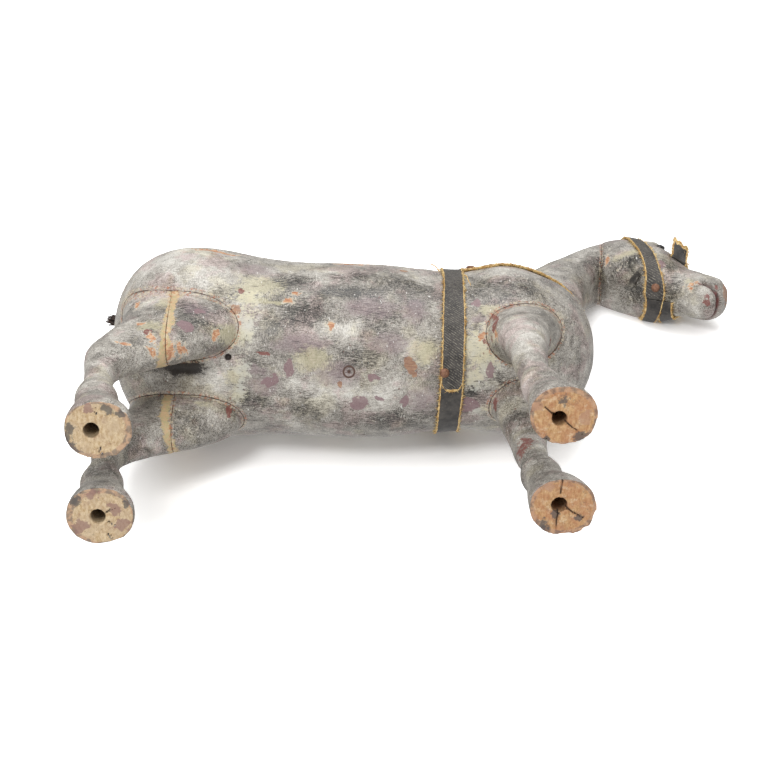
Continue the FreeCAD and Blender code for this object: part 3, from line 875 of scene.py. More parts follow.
def frayed_edges(strap, line, name, rng, lengths=(0.5, 1.9), spacing=FRAY_SPACING):
    """Loose tan fibres standing off the cut edges of a strap."""
    points, normals = points_of(strap.data), normals_of(strap.data)
    edge = np.empty(len(points), np.float32)
    strap.data.attributes["edge"].data.foreach_get("value", edge)
    candidates = np.nonzero(edge > 0.9)[0]
    area = len(candidates) * STRAP_VOXEL**2
    count = int(area / 2.2 / spacing)
    chosen = rng.choice(candidates, min(count, len(candidates)), replace=False)
    over = turned(np.array([line[1]]))[0]
    body = to_body(points)
    side = np.sign(across_strap(body, line))
    tubes = []
    for i in chosen:
        along = np.cross(over, normals[i])
        along /= max(np.linalg.norm(along), 0.2)
        heading = over * side[i] * rng.uniform(0.1, 1.0) + along * rng.uniform(-1.3, 1.3)
        heading = unit(heading + normals[i] * rng.uniform(0.0, 0.5) + rng.normal(0, 0.2, 3))
        bend = rng.normal(0, 0.35, 3)
        length = rng.uniform(*lengths)
        steps = np.linspace(0, 1, 4)[:, None]
        path = points[i] - heading * 0.2 + heading * steps * length + bend * steps**2 * length
        tubes.append(tube(path, [0.2, 0.17, 0.12, 0.04], 3))
    return strands(name, tubes)


def thread(name, places, radius, rng):
    """A longer loose thread through body places, with a slight curl."""
    places = np.array(places, float)
    t = np.linspace(0, len(places) - 1, 7 * len(places))
    path = np.stack([np.interp(t, range(len(places)), places[:, k]) for k in range(3)], 1)
    path = relaxed_path(path) + rng.normal(0, 0.12, path.shape)
    radii = radius * np.interp(t, [0, t[-1] * 0.8, t[-1]], [1.0, 0.8, 0.3])
    return strands(name, [tube(to_world(path), radii, 5)])


def relaxed_path(path):
    for _ in range(4):
        path[1:-1] = (path[:-2] + 2 * path[1:-1] + path[2:]) / 4
    return path


def thin_sheet(name, grid, thickness):
    """A closed sheet from a grid of middle points, with its edge attribute at the border."""
    rows, columns = grid.shape[:2]
    normal = unit(np.cross(np.gradient(grid, axis=0), np.gradient(grid, axis=1)))
    points = np.concatenate([grid + normal * thickness / 2, grid - normal * thickness / 2]).reshape(-1, 3)
    under = rows * columns
    faces = []
    for r in range(rows - 1):
        for c in range(columns - 1):
            a, b = r * columns + c, r * columns + c + 1
            d, e = a + columns, b + columns
            faces.append((a, b, e, d))
            faces.append((under + d, under + e, under + b, under + a))
    border = list(range(columns)) + [r * columns + columns - 1 for r in range(1, rows)]
    border += [(rows - 1) * columns + c for c in range(columns - 2, -1, -1)]
    border += [r * columns for r in range(rows - 2, 0, -1)]
    for a, b in zip(border, border[1:] + border[:1]):
        faces.append((b, a, under + a, under + b))
    mesh = mesh_from(name, points, faces)
    r, c = np.meshgrid(np.linspace(0, 1, rows), np.linspace(-1, 1, columns), indexing="ij")
    edge = np.maximum(smooth_step(0.66, 0.92, r), smooth_step(0.6, 0.95, np.abs(c)))
    write_attribute(mesh, "edge", np.concatenate([edge.ravel(), edge.ravel()]))
    return new_object(name, mesh)


def torn_flap():
    """The torn end of the noseband, standing off the nose, with a curling ragged tip."""
    run = FLAP_TIP - FLAP_ROOT
    out = unit(np.cross(run, FLAP_ALONG))
    t = np.linspace(-0.3, 1.0, 22)
    v = np.linspace(-0.5, 0.5, 17)
    tt, vv = np.meshgrid(t, v, indexing="ij")
    flat = np.stack([tt.ravel() * 9, vv.ravel() * 9, np.zeros(tt.size)], 1)
    torn = (0.86 + 0.2 * noise(flat[:, 1:2] * np.ones(3), 2.6, 41)).reshape(tt.shape)
    reach = np.where(tt > 0, tt * torn, tt)
    wide = vv * (1.06 - 0.12 * np.clip(tt, 0, 1)) + 0.05 * noise(flat, 3.0, 42).reshape(tt.shape)
    curl = 3.4 * np.clip(tt, 0, 1) ** 2 * (0.3 + vv) + 1.8 * (2 * vv) ** 2 * np.clip(tt, 0, 1)
    curl += 0.4 * noise(flat, 3.5, 43).reshape(tt.shape)
    grid = FLAP_ROOT + reach[..., None] * run + wide[..., None] * FLAP_ALONG + curl[..., None] * out
    grid = to_world(grid.reshape(-1, 3)).reshape(grid.shape)
    return thin_sheet("torn_flap", grid, 1.1)


def leather_ear(side):
    """A leaf-shaped leather ear, cupped forward, from its glued foot to its tip."""
    t = np.linspace(0, 1, 30)[:, None]
    lower = EAR_FOOT + (EAR_ROOT - EAR_FOOT) * t / 0.42
    upper = EAR_ROOT + (EAR_TIP - EAR_ROOT) * (t - 0.42) / 0.58
    spine = np.where(t < 0.42, lower, upper)
    spine[:, 0] += 2.0 * np.clip(t[:, 0] - 0.5, 0, 1) ** 2 * 4
    leaf = np.sqrt(np.clip(1 - ((np.clip(t[:, 0], 0.42, 1) - 0.42) / 0.585) ** 2.4, 0.004, 1))
    wide = 9.4 * leaf * (0.72 + 0.28 * smooth_step(0.0, 0.5, t[:, 0]))
    v = np.linspace(-0.5, 0.5, 15)
    along = unit(EAR_ALONG)
    cup = 2.6 * (4 * v**2 - 0.6)[None, :] * smooth_step(0.2, 0.7, t)
    grid = spine[:, None, :] + (wide[:, None] * v[None, :])[..., None] * along
    grid[..., 0] += cup
    flat = grid.reshape(-1, 3)
    grid = (flat + 0.25 * noise(flat, 3.0, 51)[:, None] * np.array([1.0, 0.3, 0.3])).reshape(grid.shape)
    grid[..., 1] = head_middle(grid[..., 0]) + side * grid[..., 1]
    if side < 0:
        grid = grid[:, ::-1]
    grid = to_world(grid.reshape(-1, 3)).reshape(grid.shape)
    return thin_sheet("leather_ear", grid, 1.15)


def tail_bristles(rng):
    """A stub of coarse clipped horsehair."""
    run = TAIL_TIP - TAIL_EXIT
    axis = unit(run)
    tubes = []
    for _ in range(90):
        angle, spread = rng.uniform(0, 2 * math.pi), math.sqrt(rng.uniform(0, 1))
        first = unit(np.cross(axis, (0.0, 1.0, 0.0)))
        off = (first * math.cos(angle) + np.array((0.0, 1.0, 0.0)) * math.sin(angle)) * spread
        start = TAIL_EXIT - axis * 5.0 + off * 1.9
        end = TAIL_EXIT + run * rng.uniform(0.7, 1.08) + off * rng.uniform(2.4, 4.6)
        steps = np.linspace(0, 1, 6)[:, None]
        sag = np.array((0.0, 0.0, 1.0)) * rng.normal(0, 0.9) + np.array((0.0, 1.0, 0.0)) * rng.normal(0, 0.9)
        path = start + (end - start) * steps + sag * np.sin(math.pi * steps)
        tubes.append(tube(to_world(path), [0.42, 0.42, 0.4, 0.38, 0.34, 0.16], 5))
    return strands("tail_bristles", tubes)


def hammered(name):
    """Tacks with dented, slightly uneven heads."""
    obj = remeshed(cad_copy([name]), TACK_VOXEL)
    points = points_of(obj.data)
    points = relaxed(obj.data, points, np.full(len(points), 0.5), 2)
    dents = 0.16 * noise(points, 1.9, 61) + 0.07 * noise(points, 0.8, 62)
    set_points(obj.data, points + normals_of(obj.data) * dents[:, None])
    return obj


# ------------------------------------------------------------------ shader helpers
def linear(value):
    """A screen value from 0 to 255 as linear light."""
    if value <= 10:
        return value / 255 / 12.92
    return ((value / 255 + 0.055) / 1.055) ** 2.4


def srgb(r, g, b):
    """A colour given as screen values from 0 to 255."""
    return (linear(r), linear(g), linear(b), 1.0)


class Shader:
    """A node material, with short calls for the nodes used here."""

    def __init__(self, name):
        self.material = bpy.data.materials.new(name)
        self.material.use_nodes = True
        self.tree = self.material.node_tree
        self.tree.nodes.clear()
        self.place = self.node("ShaderNodeTexCoord").outputs["Object"]

    def node(self, kind, inputs=None, **settings):
        made = self.tree.nodes.new(kind)
        for key, value in settings.items():
            setattr(made, key, value)
        for key, value in (inputs or {}).items():
            self.put(made.inputs[key], value)
        return made

    def put(self, socket, value):
        if isinstance(value, bpy.types.NodeSocket):
            self.tree.links.new(value, socket)
        else:
            socket.default_value = value

    def scaled(self, x, y, z):
        inputs = {"Vector": self.place, "Scale": (x, y, z)}
        return self.node("ShaderNodeMapping", inputs).outputs["Vector"]

    def noise(self, per_mm, detail=4.0, roughness=0.6, stretch=(1, 1, 1), seed=0.0, distortion=0.0):
        x, y, z = (s * per_mm * 1000 for s in stretch)
        moved = self.node("ShaderNodeVectorMath", {0: self.scaled(x, y, z), 1: (seed, seed, seed)})
        inputs = {"Vector": moved.outputs[0], "Scale": 1.0, "Detail": detail, "Roughness": roughness}
        inputs["Distortion"] = distortion
        return self.node("ShaderNodeTexNoise", inputs).outputs["Fac"]

    def attribute(self, name):
        return self.node("ShaderNodeAttribute", attribute_name=name).outputs["Fac"]

    def math(self, operation, a, b=0.0, clamp=False):
        return self.node("ShaderNodeMath", {0: a, 1: b}, operation=operation, use_clamp=clamp).outputs[0]

    def times(self, a, b):
        return self.math("MULTIPLY", a, b)

    def ramp(self, value, low, high, to_low=0.0, to_high=1.0):
        inputs = {"Value": value, "From Min": low, "From Max": high, "To Min": to_low, "To Max": to_high}
        return self.node("ShaderNodeMapRange", inputs, interpolation_type="SMOOTHSTEP").outputs["Result"]

    def mix(self, factor, a, b, blend="MIX"):
        made = self.node("ShaderNodeMix", data_type="RGBA", blend_type=blend)
        self.put(made.inputs[0], factor)
        self.put(made.inputs[6], a)
        self.put(made.inputs[7], b)
        return made.outputs[2]

    def over(self, under, colour, mask, strength):
        """A colour laid over another where the mask shows, as strongly as strength says."""
        return self.mix(self.times(mask, strength), under, colour)

    def brushed(self, name, stroke, low, high, seed):
        """A mark from its attribute, broken up by brush strokes and grit."""
        grit = self.noise(0.4, 5.0, 0.75, seed=seed)
        return self.ramp(self.total(self.attribute(name), [(stroke, 2.0, 0.5), (grit, 1.2, 0.5)]), low, high)

    def total(self, start, terms):
        """start plus gain times (value minus centre) for each (value, gain, centre)."""
        for value, gain, centre in terms:
            start = self.math("ADD", start, self.times(self.math("SUBTRACT", value, centre), gain))
        return start

    def stops(self, value, colours):
        """A colour ramp through (position, colour) pairs."""
        made = self.node("ShaderNodeValToRGB", {"Fac": value})
        ramp = made.color_ramp
        while len(ramp.elements) < len(colours):
            ramp.elements.new(0.5)
        for element, (position, colour) in zip(ramp.elements, colours):
            element.position = position
            element.color = colour
        return made.outputs["Color"]

    def bump(self, height, distance_mm, strength=1.0):
        inputs = {"Height": height, "Distance": distance_mm * MM, "Strength": strength}
        return self.node("ShaderNodeBump", inputs).outputs["Normal"]

    def surface(self, **inputs):
        made = self.node("ShaderNodeBsdfPrincipled", {k.replace("_", " "): v for k, v in inputs.items()})
        self.output(made.outputs[0])
        return self.material

    def output(self, socket):
        out = self.node("ShaderNodeOutputMaterial")
        self.tree.links.new(socket, out.inputs["Surface"])

    def worn(self, mask, size=0.4, spread=0.45, low=0.45, high=0.58, seed=0.0):
        """A soft mask given crisp, broken edges."""
        grit = self.math("SUBTRACT", self.noise(size, 5.0, 0.7, seed=seed), 0.5)
        shaken = self.math("ADD", mask, self.times(grit, spread * 2))
        return self.ramp(shaken, low, high)


def painted_wood():
    s = Shader("painted_wood")
    cloud = s.noise(0.03, 4.0, 0.6, seed=3.0)
    patch = s.noise(0.09, 5.0, 0.65, seed=11.0, distortion=0.6)
    along = s.noise(1.5, 5.0, 0.75, (0.2, 1.0, 1.0), 5.0, distortion=0.8)
    around = s.noise(1.5, 5.0, 0.75, (1.0, 0.25, 0.25), 17.0, distortion=0.8)
    grit = s.noise(1.7, 3.0, 0.75, seed=23.0)
    turn = s.ramp(s.noise(0.055, 3.0, 0.6, seed=29.0), 0.34, 0.52)
    stroke = s.math("ADD", s.times(along, turn), s.times(around, s.math("SUBTRACT", 1.0, turn)))
    normal = s.node("ShaderNodeNewGeometry").outputs["Normal"]
    sideways = s.node("ShaderNodeSeparateXYZ", {0: normal}).outputs[1]
    on_trunk = s.ramp(s.node("ShaderNodeSeparateXYZ", {0: s.place}).outputs[2], 0.135, 0.165)
    # Painted light and shade from the normal: the trunk is lightened where it faces -Y (the horse's right)
    # and darkened where it faces -Y only at a slant.
    painted_light_facing_right = s.times(s.ramp(sideways, -0.88, -1.0), on_trunk)
    painted_shade_band = s.times(s.ramp(sideways, -0.35, -0.75), s.ramp(sideways, -1.0, -0.9))
    painted_shade_band = s.times(painted_shade_band, on_trunk)
    hatch = s.ramp(stroke, 0.36, 0.6, 1.25, 0.3)
    smudge = s.times(s.attribute("smudge"), hatch)
    value = s.total(0.5, [
        (stroke, 1.35, 0.5), (patch, 0.9, 0.5), (cloud, 0.5, 0.5), (grit, 1.3, 0.5),
        (painted_shade_band, -0.03, 0.0), (smudge, -0.38, 0.0), (s.attribute("pale"), 0.26, 0.0),
        (painted_light_facing_right, 0.08, 0.0), (s.attribute("dim"), -0.14, 0.0),
    ])
    colour = s.stops(value, [
        (0.08, srgb(46, 44, 40)), (0.3, srgb(100, 96, 89)), (0.48, srgb(147, 141, 133)),
        (0.66, srgb(185, 180, 171)), (0.95, srgb(228, 225, 217)),
    ])
    mauve_field = s.ramp(s.noise(0.05, 4.0, 0.65, seed=41.0), 0.5, 0.62)
    colour = s.mix(s.times(mauve_field, 0.8), colour, (0.97, 0.84, 0.87, 1.0), "MULTIPLY")
    cream_field = s.ramp(s.noise(0.045, 4.0, 0.65, seed=47.0), 0.5, 0.64)
    colour = s.mix(s.times(cream_field, 0.6), colour, (1.02, 0.99, 0.84, 1.0), "MULTIPLY")
    mauve = s.brushed("mauve", stroke, 0.3, 0.85, 6.0)
    colour = s.over(colour, srgb(146, 126, 130), mauve, 0.5)
    cream = s.brushed("cream", stroke, 0.35, 0.85, 8.0)
    colour = s.over(colour, srgb(204, 196, 160), cream, 0.55)
    primer = s.noise(0.3, 6.0, 0.8, seed=83.0)
    white = s.ramp(s.total(s.attribute("white"), [(primer, 3.4, 0.5), (stroke, 1.8, 0.5)]), 0.48, 0.66)
    tint = s.mix(s.ramp(cloud, 0.4, 0.6), srgb(206, 205, 194), srgb(214, 206, 172))
    colour = s.over(colour, tint, white, 0.72)
    plum = s.worn(s.attribute("plum"), 0.35, 0.5, 0.42, 0.5, 18.0)
    colour = s.over(colour, s.mix(grit, srgb(118, 90, 96), srgb(152, 124, 126)), plum, 0.85)
    scratch = s.ramp(s.noise(0.5, 2.0, 0.5, (0.16, 1.2, 1.2), 73.0, distortion=0.4), 0.69, 0.72)
    colour = s.over(colour, srgb(58, 48, 44), scratch, 0.7)
    fleck = s.ramp(s.noise(0.45, 3.0, 0.6, seed=71.0), 0.69, 0.72)
    colour = s.over(colour, srgb(118, 74, 66), fleck, 0.75)
    light_fleck = s.ramp(s.noise(0.6, 3.0, 0.6, (1.0, 0.5, 0.5), 79.0), 0.67, 0.71)
    colour = s.over(colour, srgb(232, 230, 224), light_fleck, 0.8)
    colour, raw = chip_colour(s, colour)
    colour = ring_colour_and_hole_shade(s, colour, stroke)
    lips = s.ramp(s.total(s.attribute("mouth"), [(grit, 0.5, 0.5)]), 0.1, 0.4)
    lip_colour = s.mix(s.ramp(patch, 0.45, 0.55), srgb(116, 48, 44), srgb(48, 34, 30))
    colour = s.over(colour, lip_colour, lips, 0.9)
    putty = s.worn(s.attribute("filler"), 0.25, 1.1, 0.42, 0.66, 16.0)
    tint = s.mix(s.ramp(primer, 0.42, 0.6), srgb(188, 174, 128), srgb(212, 178, 136))
    colour = s.over(colour, tint, putty, 0.88)
    colour = seam_colour(s, colour)
    colour = sole_colour(s, colour)
    # Painted shade: ambient occlusion darkens the paint in hollows, creases and between the blocks, less on
    # the soles.
    hollow = s.node("ShaderNodeAmbientOcclusion", {"Distance": 0.026}, samples=8).outputs["AO"]
    off_soles = s.ramp(s.attribute("end"), 0.0, 1.0, 1.0, 0.45)
    painted_crevice_shade = s.times(s.ramp(hollow, 0.75, 0.2, 0.0, 0.92), off_soles)
    colour = s.mix(painted_crevice_shade, colour, srgb(40, 33, 28))
    height = s.total(0.0, [(stroke, 0.7, 0.0), (grit, 0.35, 0.0), (raw, -0.5, 0.0), (patch, 0.5, 0.0)])
    gloss = s.ramp(s.math("ADD", patch, s.times(grit, 0.3)), 0.45, 0.8, 0.24, 0.46)
    matt = s.math("MAXIMUM", raw, s.attribute("end"))
    dull = s.math("SUBTRACT", 1.0, on_trunk)
    matt = s.math("MAXIMUM", matt, s.times(dull, 0.6))
    rough_paint = s.math("ADD", gloss, s.times(matt, 0.4), True)
    return s.surface(
        Base_Color=colour, Roughness=rough_paint, Normal=s.bump(height, 0.3, 0.5), Specular_IOR_Level=0.55
    )


def chip_colour(s, colour):
    """Red undercoat, rusty wood and bare wood where the paint is off, and the mask of the bare wood."""
    red = s.worn(s.attribute("red"), 0.5, 0.6, 0.5, 0.6, 10.0)
    colour = s.over(colour, srgb(124, 66, 58), red, 0.85)
    rust = s.worn(s.attribute("rust"), 0.45, 0.5, 0.46, 0.58, 12.0)
    grain = s.ramp(s.noise(0.9, 3.0, 0.6, (0.2, 1, 1), 31.0), 0.35, 0.7)
    colour = s.over(colour, s.mix(grain, srgb(142, 100, 76), srgb(178, 136, 104)), rust, 0.85)
    bare = s.mix(grain, srgb(170, 104, 66), srgb(222, 182, 144))
    edge_of_chip = s.worn(s.attribute("raw"), 0.35, 1.1, 0.26, 0.42, 0.0)
    colour = s.over(colour, srgb(214, 206, 188), edge_of_chip, 0.65)
    raw = s.worn(s.attribute("raw"), 0.35, 1.1, 0.5, 0.57, 0.0)
    colour = s.over(colour, bare, raw, 0.9)
    return colour, raw


def ring_colour_and_hole_shade(s, colour, stroke):
    """Dark colour in the ringed mark, and painted shade in the small hole and the open gaps, which are
    coloured near black.
    """
    ring = s.attribute("ring")
    ring_line = s.times(s.ramp(ring, 0.12, 0.22), s.ramp(ring, 0.5, 0.32))
    colour = s.mix(s.math("MAXIMUM", ring_line, s.ramp(ring, 0.78, 0.9)), colour, srgb(84, 58, 48))
    # Painted shade: near black in the small hole and in the gaps.
    colour = s.mix(s.ramp(s.attribute("hole"), 0.5, 0.7), colour, srgb(48, 36, 32))
    gap = s.brushed("gap", stroke, 0.3, 0.7, 10.0)
    colour = s.over(colour, srgb(34, 28, 24), gap, 0.95)
    return colour


def seam_colour(s, colour):
    """Glue lines: a thin brown crack with flakes of cream primer and bare wood beside it."""
    seam = s.attribute("seam")
    flakes = s.noise(0.4, 5.0, 0.75, seed=14.0)
    beside = s.ramp(seam, 0.02, 0.25)
    cream = s.times(beside, s.ramp(flakes, 0.52, 0.58))
    colour = s.over(colour, srgb(208, 192, 164), cream, 0.75)
    bare = s.times(beside, s.ramp(flakes, 0.46, 0.42))
    colour = s.over(colour, srgb(176, 112, 78), bare, 0.8)
    worn_away = s.ramp(s.noise(0.1, 4.0, 0.65, seed=19.0), 0.42, 0.6, 0.1, 1.0)
    line = s.times(s.ramp(seam, 0.72, 0.92), worn_away)
    return s.mix(s.times(line, 0.75), colour, srgb(92, 66, 54))


def sole_colour(s, colour):
    """End grain, old paint and dark grease on the soles."""
    fore = s.ramp(s.node("ShaderNodeSeparateXYZ", {0: s.place}).outputs[0], -0.02, 0.02)
    grain = s.noise(0.7, 5.0, 0.7, (1.0, 0.45, 1.0), 51.0)
    stain = s.ramp(s.noise(0.11, 5.0, 0.65, seed=57.0), 0.4, 0.62)
    ochre = s.mix(s.ramp(grain, 0.36, 0.62), srgb(180, 150, 110), srgb(214, 192, 156))
    ochre = s.over(ochre, srgb(190, 168, 140), stain, 0.6)
    orange = s.mix(s.ramp(grain, 0.36, 0.62), srgb(172, 128, 84), srgb(206, 168, 122))
    orange = s.over(orange, srgb(176, 118, 84), stain, 0.6)
    wood = s.mix(fore, ochre, orange)
    blotch = s.ramp(s.noise(0.2, 5.0, 0.7, seed=61.0), 0.54, 0.64)
    wood = s.over(wood, srgb(150, 112, 92), blotch, 0.4)
    pale = s.ramp(s.noise(0.24, 5.0, 0.75, seed=63.0), 0.52, 0.64)
    wood = s.over(wood, srgb(226, 206, 172), pale, 0.5)
    soot = s.ramp(s.noise(0.3, 5.0, 0.75, seed=65.0), 0.6, 0.68)
    wood = s.over(wood, srgb(110, 96, 82), soot, 0.55)
    broken = s.noise(0.28, 5.0, 0.75, seed=64.0)
    chipped = s.ramp(s.total(s.attribute("rim"), [(broken, 1.0, 0.5)]), 0.55, 0.75)
    flakes = s.ramp(s.noise(0.22, 3.0, 0.6, seed=66.0), 0.42, 0.58)
    wood = s.over(wood, s.mix(flakes, srgb(112, 96, 90), srgb(190, 152, 124)), chipped, 0.7)
    old = s.worn(s.attribute("old"), 0.22, 0.9, 0.42, 0.52, 61.0)
    wood = s.over(wood, s.mix(fore, srgb(142, 108, 102), srgb(178, 138, 112)), old, 0.72)
    grease = s.worn(s.attribute("grease"), 0.35, 1.0, 0.36, 0.62, 67.0)
    wood = s.over(wood, srgb(78, 78, 78), grease, 0.78)
    specks = s.ramp(s.noise(0.9, 3.0, 0.7, seed=69.0), 0.62, 0.68)
    wood = s.over(wood, srgb(112, 76, 52), specks, 0.6)
    wood = s.over(wood, srgb(58, 38, 26), s.ramp(s.attribute("crack"), 0.3, 0.8), 0.9)
    return s.mix(s.worn(s.attribute("end"), 0.6, 0.25, 0.4, 0.6, 1.0), colour, wood)


def leather(name, embossed):
    s = Shader(name)
    base = s.mix(s.ramp(s.noise(0.12, 4.0, 0.6, seed=2.0), 0.35, 0.65), srgb(46, 43, 41), srgb(78, 74, 70))
    scuff = s.ramp(s.noise(0.7, 4.0, 0.7, seed=9.0), 0.56, 0.68)
    base = s.over(base, srgb(128, 120, 108), scuff, 0.4)
    pores = s.noise(1.6, 3.0, 0.6, seed=5.0)
    height = s.times(pores, 0.4)
    if embossed:
        slant = s.total(0.0, [
            (s.attribute("across"), 2.6, 0.0), (s.attribute("along"), 4.0, 0.0),
            (s.noise(0.25, 3.0, 0.6), 5.0, 0.0),
        ])
        broken = s.ramp(s.noise(0.7, 4.0, 0.75, seed=27.0), 0.42, 0.6)
        ridge = s.times(s.ramp(s.math("SINE", slant), -0.2, 0.9), broken)
        base = s.over(base, srgb(156, 150, 138), ridge, 0.75)
        height = s.math("ADD", height, ridge)
    edge = s.worn(s.attribute("edge"), 0.5, 0.5, 0.45, 0.7, 3.0)
    tan = s.mix(s.ramp(s.noise(0.5, 4.0, 0.7, seed=7.0), 0.4, 0.62), srgb(176, 134, 76), srgb(238, 208, 146))
    base = s.mix(edge, base, tan)
    return s.surface(
        Base_Color=base, Roughness=s.ramp(scuff, 0.0, 1.0, 0.48, 0.7), Normal=s.bump(height, 0.3, 0.8)
    )


def fibre():
    s = Shader("frayed_fibre")
    colour = s.mix(s.ramp(s.noise(0.25, 2.0, 0.6), 0.4, 0.6), srgb(206, 164, 96), srgb(248, 224, 166))
    return s.surface(Base_Color=colour, Roughness=0.8)


def bristle():
    s = Shader("horsehair")
    colour = s.mix(s.ramp(s.noise(0.8, 2.0, 0.6), 0.4, 0.6), srgb(24, 18, 16), srgb(74, 54, 44))
    return s.surface(Base_Color=colour, Roughness=0.45)


def tack_metal():
    s = Shader("tack_metal")
    spot = s.noise(0.6, 5.0, 0.7, seed=4.0)
    colour = s.mix(s.ramp(spot, 0.35, 0.65), srgb(104, 70, 52), srgb(158, 116, 92))
    colour = s.mix(s.ramp(s.noise(1.2, 3.0, 0.6, seed=8.0), 0.6, 0.7), colour, srgb(60, 42, 34))
    roughness = s.ramp(spot, 0.3, 0.7, 0.38, 0.65)
    return s.surface(Base_Color=colour, Metallic=0.35, Roughness=roughness, Normal=s.bump(spot, 0.2, 0.6))


def dowel_wood():
    s = Shader("dowel_wood")
    grain = s.noise(0.6, 4.0, 0.6, (1, 1, 0.08))
    colour = s.mix(s.ramp(grain, 0.35, 0.65), srgb(176, 128, 78), srgb(214, 172, 120))
    return s.surface(Base_Color=colour, Roughness=0.65, Normal=s.bump(grain, 0.1, 0.5))


def eye_glass():
    s = Shader("eye_glass")
    colour = s.mix(s.ramp(s.noise(0.6, 3.0, 0.6), 0.4, 0.7), srgb(14, 12, 12), srgb(52, 42, 38))
    return s.surface(Base_Color=colour, Roughness=0.18, Specular_IOR_Level=0.6)


MATERIALS = {
    "painted_wood": painted_wood(),
    "dowel_wood": dowel_wood(),
    "embossed_leather": leather("embossed_leather", True),
    "plain_leather": leather("plain_leather", False),
    "tack_metal": tack_metal(),
    "horsehair": bristle(),
    "eye_glass": eye_glass(),
    "fibre": fibre(),
}


def dress(obj, slot, body="horse", smooth=True):
    """Gives a piece the material for its record slot, its shading and the body it rides on."""
    obj.data.materials.clear()
    obj.data.materials.append(MATERIALS[slot])
    obj.data.polygons.foreach_set("use_smooth", [smooth] * len(obj.data.polygons))
    if body:
        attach(obj, body)
    return obj


# ------------------------------------------------------------------ build: wood
joints = Joints()
for node, obj in wooden_blocks(joints).items():
    obj.name = node + "_carved"
    obj.data.name = obj.name
    paint_attributes(obj.data, joints, node in THIGHS)
    dress(obj, "painted_wood")
    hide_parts(node)
joints.clear()

# ------------------------------------------------------------------ build: harness, ears, tail and tacks
rng = np.random.default_rng(21)
wood = cad_copy(["trunk", "neck", "head"])
wood_tree = surface_of(wood)
for node, line in STRAPS.items():
    strap = leather_strap(node, wood_tree)
    strap.name = node + "_leather"
    slot = "embossed_leather" if node.endswith("strap_right") else "plain_leather"
    dress(strap, slot)
    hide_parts(node)
    dress(frayed_edges(strap, line, node + "_fray", rng), "fibre")
drop(wood)

for node in ("belly_tack", "spine_tacks", "breast_tacks", "jaw_tack", "crown_tacks"):
    tacks = hammered(node)
    tacks.name = node + "_hammered"
    dress(tacks, "tack_metal")
    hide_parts(node)

flap = torn_flap()
flap_fray = frayed_edges(flap, NOSE, "torn_flap_fray", rng, (1.0, 4.0), 0.16)
for piece, slot in ((flap, "plain_leather"), (flap_fray, "fibre")):
    dress(piece, slot, None)
    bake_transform(piece)
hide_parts("nose_flap")

for side, label in ((-1, "right"), (1, "left")):
    ear = leather_ear(side)
    ear.name = "leather_ear_" + label
    dress(ear, "plain_leather", None)
    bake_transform(ear)
    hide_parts("ear_" + label, "ear_root_" + label)

tail = tail_bristles(rng)
dress(tail, "horsehair", None)
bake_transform(tail)
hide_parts("tail_tuft", "tail_root")

# The girth's loose threads, in body coordinates.
THREADS = {
    "girth_thread_front": [(80.2, -50.5, 196), (82.5, -51.8, 188), (83.0, -51.6, 181), (84.4, -50.0, 173)],
    "girth_thread_rear": [(66.2, -50.8, 200), (63.5, -52.6, 206), (60.0, -53.0, 209)],
}
for name, places in THREADS.items():
    dress(thread(name, places, 0.42, rng), "fibre")

for row in frame["record"]["subparts"]:
    node = frame["nodes"][row["node"]]
    node.data.materials.clear()
    node.data.materials.append(MATERIALS[row["material_slot"]])

# ------------------------------------------------------------------ stage, light and camera
CAMERA_TARGET = (31.8, -41.7, 15.2)
CAMERA_DISTANCE = 1075.0
CAMERA_ELEVATION = -70.0
CAMERA_ROLL = 1.45
LENS_MM, SENSOR_MM = 93.75, 36.0
FLOOR_PLACE, FLOOR_NORMAL = (0.0, 55.3, 209.7), (0.0, -0.971, -0.240)


def one_sided_white(name, diffuse, glow):
    """Matt white, seen only from the front, with a painted contact shadow where ambient occlusion greys it
    near the horse.
    """
    s = Shader(name)
    # Painted shadow: the floor's colour falls to about half near the horse.
    near = s.node("ShaderNodeAmbientOcclusion", {"Distance": 0.035}, samples=8).outputs["AO"]
    painted_contact_shadow = s.ramp(near, 0.1, 0.95, diffuse * 0.55, diffuse)
    matt = s.node("ShaderNodeBsdfDiffuse", {"Color": painted_contact_shadow}).outputs[0]
    shine = s.node("ShaderNodeEmission", {"Color": (1, 1, 1, 1), "Strength": glow}).outputs[0]
    both = s.node("ShaderNodeAddShader", {0: matt, 1: shine}).outputs[0]
    clear = s.node("ShaderNodeBsdfTransparent").outputs[0]
    back = s.node("ShaderNodeNewGeometry").outputs["Backfacing"]
    s.output(s.node("ShaderNodeMixShader", {0: back, 1: both, 2: clear}).outputs[0])
    return s.material


def stage_plane(name, place, normal, size, material):
    n = Vector(normal).normalized()
    turn = np.array(n.to_track_quat("Z", "Y").to_matrix())
    corners = np.array([[-1, -1, 0], [1, -1, 0], [1, 1, 0], [-1, 1, 0]], float) * size / 2
    obj = new_object(name, mesh_from(name, corners @ turn.T + np.array(place), [[0, 1, 2, 3]]))
    obj.data.materials.append(material)
    obj.visible_diffuse = False
    obj.visible_glossy = False
    obj.visible_shadow = False
    return obj


def softbox(name, place, target, size, watts):
    light = bpy.data.lights.new(name, "AREA")
    light.shape = "DISK"
    light.size = size * MM
    light.energy = watts
    obj = new_object(name, light)
    obj.location = Vector(place) * MM
    obj.rotation_euler = (Vector(target) - Vector(place)).to_track_quat("-Z", "Y").to_euler()
    return obj


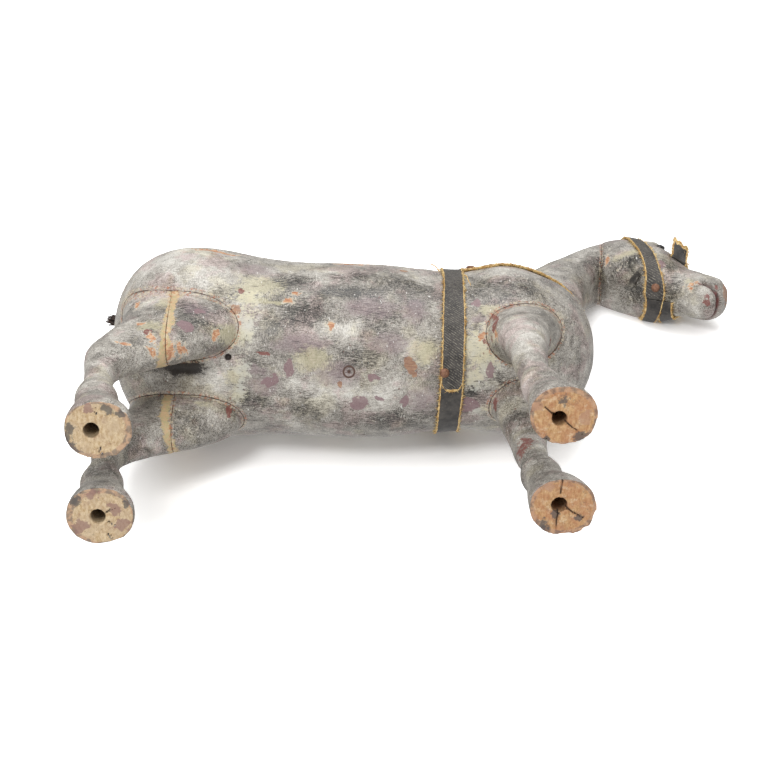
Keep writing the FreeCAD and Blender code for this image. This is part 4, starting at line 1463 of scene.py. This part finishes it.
def surroundings():
    """Near white as the camera sees it, and brighter from below than from above as a light."""
    world = bpy.data.worlds.new("white_studio")
    bpy.context.scene.world = world
    world.use_nodes = True
    tree = world.node_tree
    tree.nodes.clear()
    seen = tree.nodes.new("ShaderNodeBackground")
    seen.inputs["Color"].default_value = (0.985, 0.985, 0.985, 1)
    cast = tree.nodes.new("ShaderNodeBackground")
    cast.inputs["Color"].default_value = (1.0, 1.0, 1.0, 1)
    direction = tree.nodes.new("ShaderNodeTexCoord").outputs["Generated"]
    split_up = tree.nodes.new("ShaderNodeSeparateXYZ")
    tree.links.new(direction, split_up.inputs[0])
    sky = tree.nodes.new("ShaderNodeMapRange")
    for name, value in (("From Min", 0.8), ("From Max", -1.0), ("To Min", 0.52), ("To Max", 0.88)):
        sky.inputs[name].default_value = value
    tree.links.new(split_up.outputs[2], sky.inputs["Value"])
    tree.links.new(sky.outputs["Result"], cast.inputs["Strength"])
    path = tree.nodes.new("ShaderNodeLightPath")
    mixer = tree.nodes.new("ShaderNodeMixShader")
    out = tree.nodes.new("ShaderNodeOutputWorld")
    tree.links.new(path.outputs["Is Camera Ray"], mixer.inputs[0])
    tree.links.new(cast.outputs[0], mixer.inputs[1])
    tree.links.new(seen.outputs[0], mixer.inputs[2])
    tree.links.new(mixer.outputs[0], out.inputs["Surface"])


def studio():
    white = one_sided_white("seamless_white", 1.8, 0.02)
    stage_plane("floor_at_flank", FLOOR_PLACE, FLOOR_NORMAL, 12000.0, white)
    stage_plane("floor_under_soles", (0, 0, -0.6), (0, 0, 1), 12000.0, white)
    softbox("key", (-330, -900, -780), (0, 0, 190), 420.0, 6.4)
    softbox("fill", (150, -1250, 420), (0, 0, 200), 800.0, 5.5)
    surroundings()
    bpy.context.scene.view_settings.view_transform = "Standard"


def camera():
    data = bpy.data.cameras.new("camera")
    data.lens = LENS_MM
    data.sensor_width = SENSOR_MM
    data.clip_start, data.clip_end = 0.05, 50.0
    obj = new_object("camera", data)
    down = math.radians(-CAMERA_ELEVATION)
    back = Vector((0, -math.cos(down), -math.sin(down)))
    level = Vector((1, 0, 0))
    above = back.cross(level)
    roll = math.radians(CAMERA_ROLL)
    right = level * math.cos(roll) - above * math.sin(roll)
    up = back.cross(right)
    spot = Vector(CAMERA_TARGET) + back * CAMERA_DISTANCE
    obj.matrix_world = Matrix([
        (right.x, up.x, back.x, spot.x * MM),
        (right.y, up.y, back.y, spot.y * MM),
        (right.z, up.z, back.z, spot.z * MM),
        (0, 0, 0, 1),
    ])
    bpy.context.scene.camera = obj


studio()
camera()
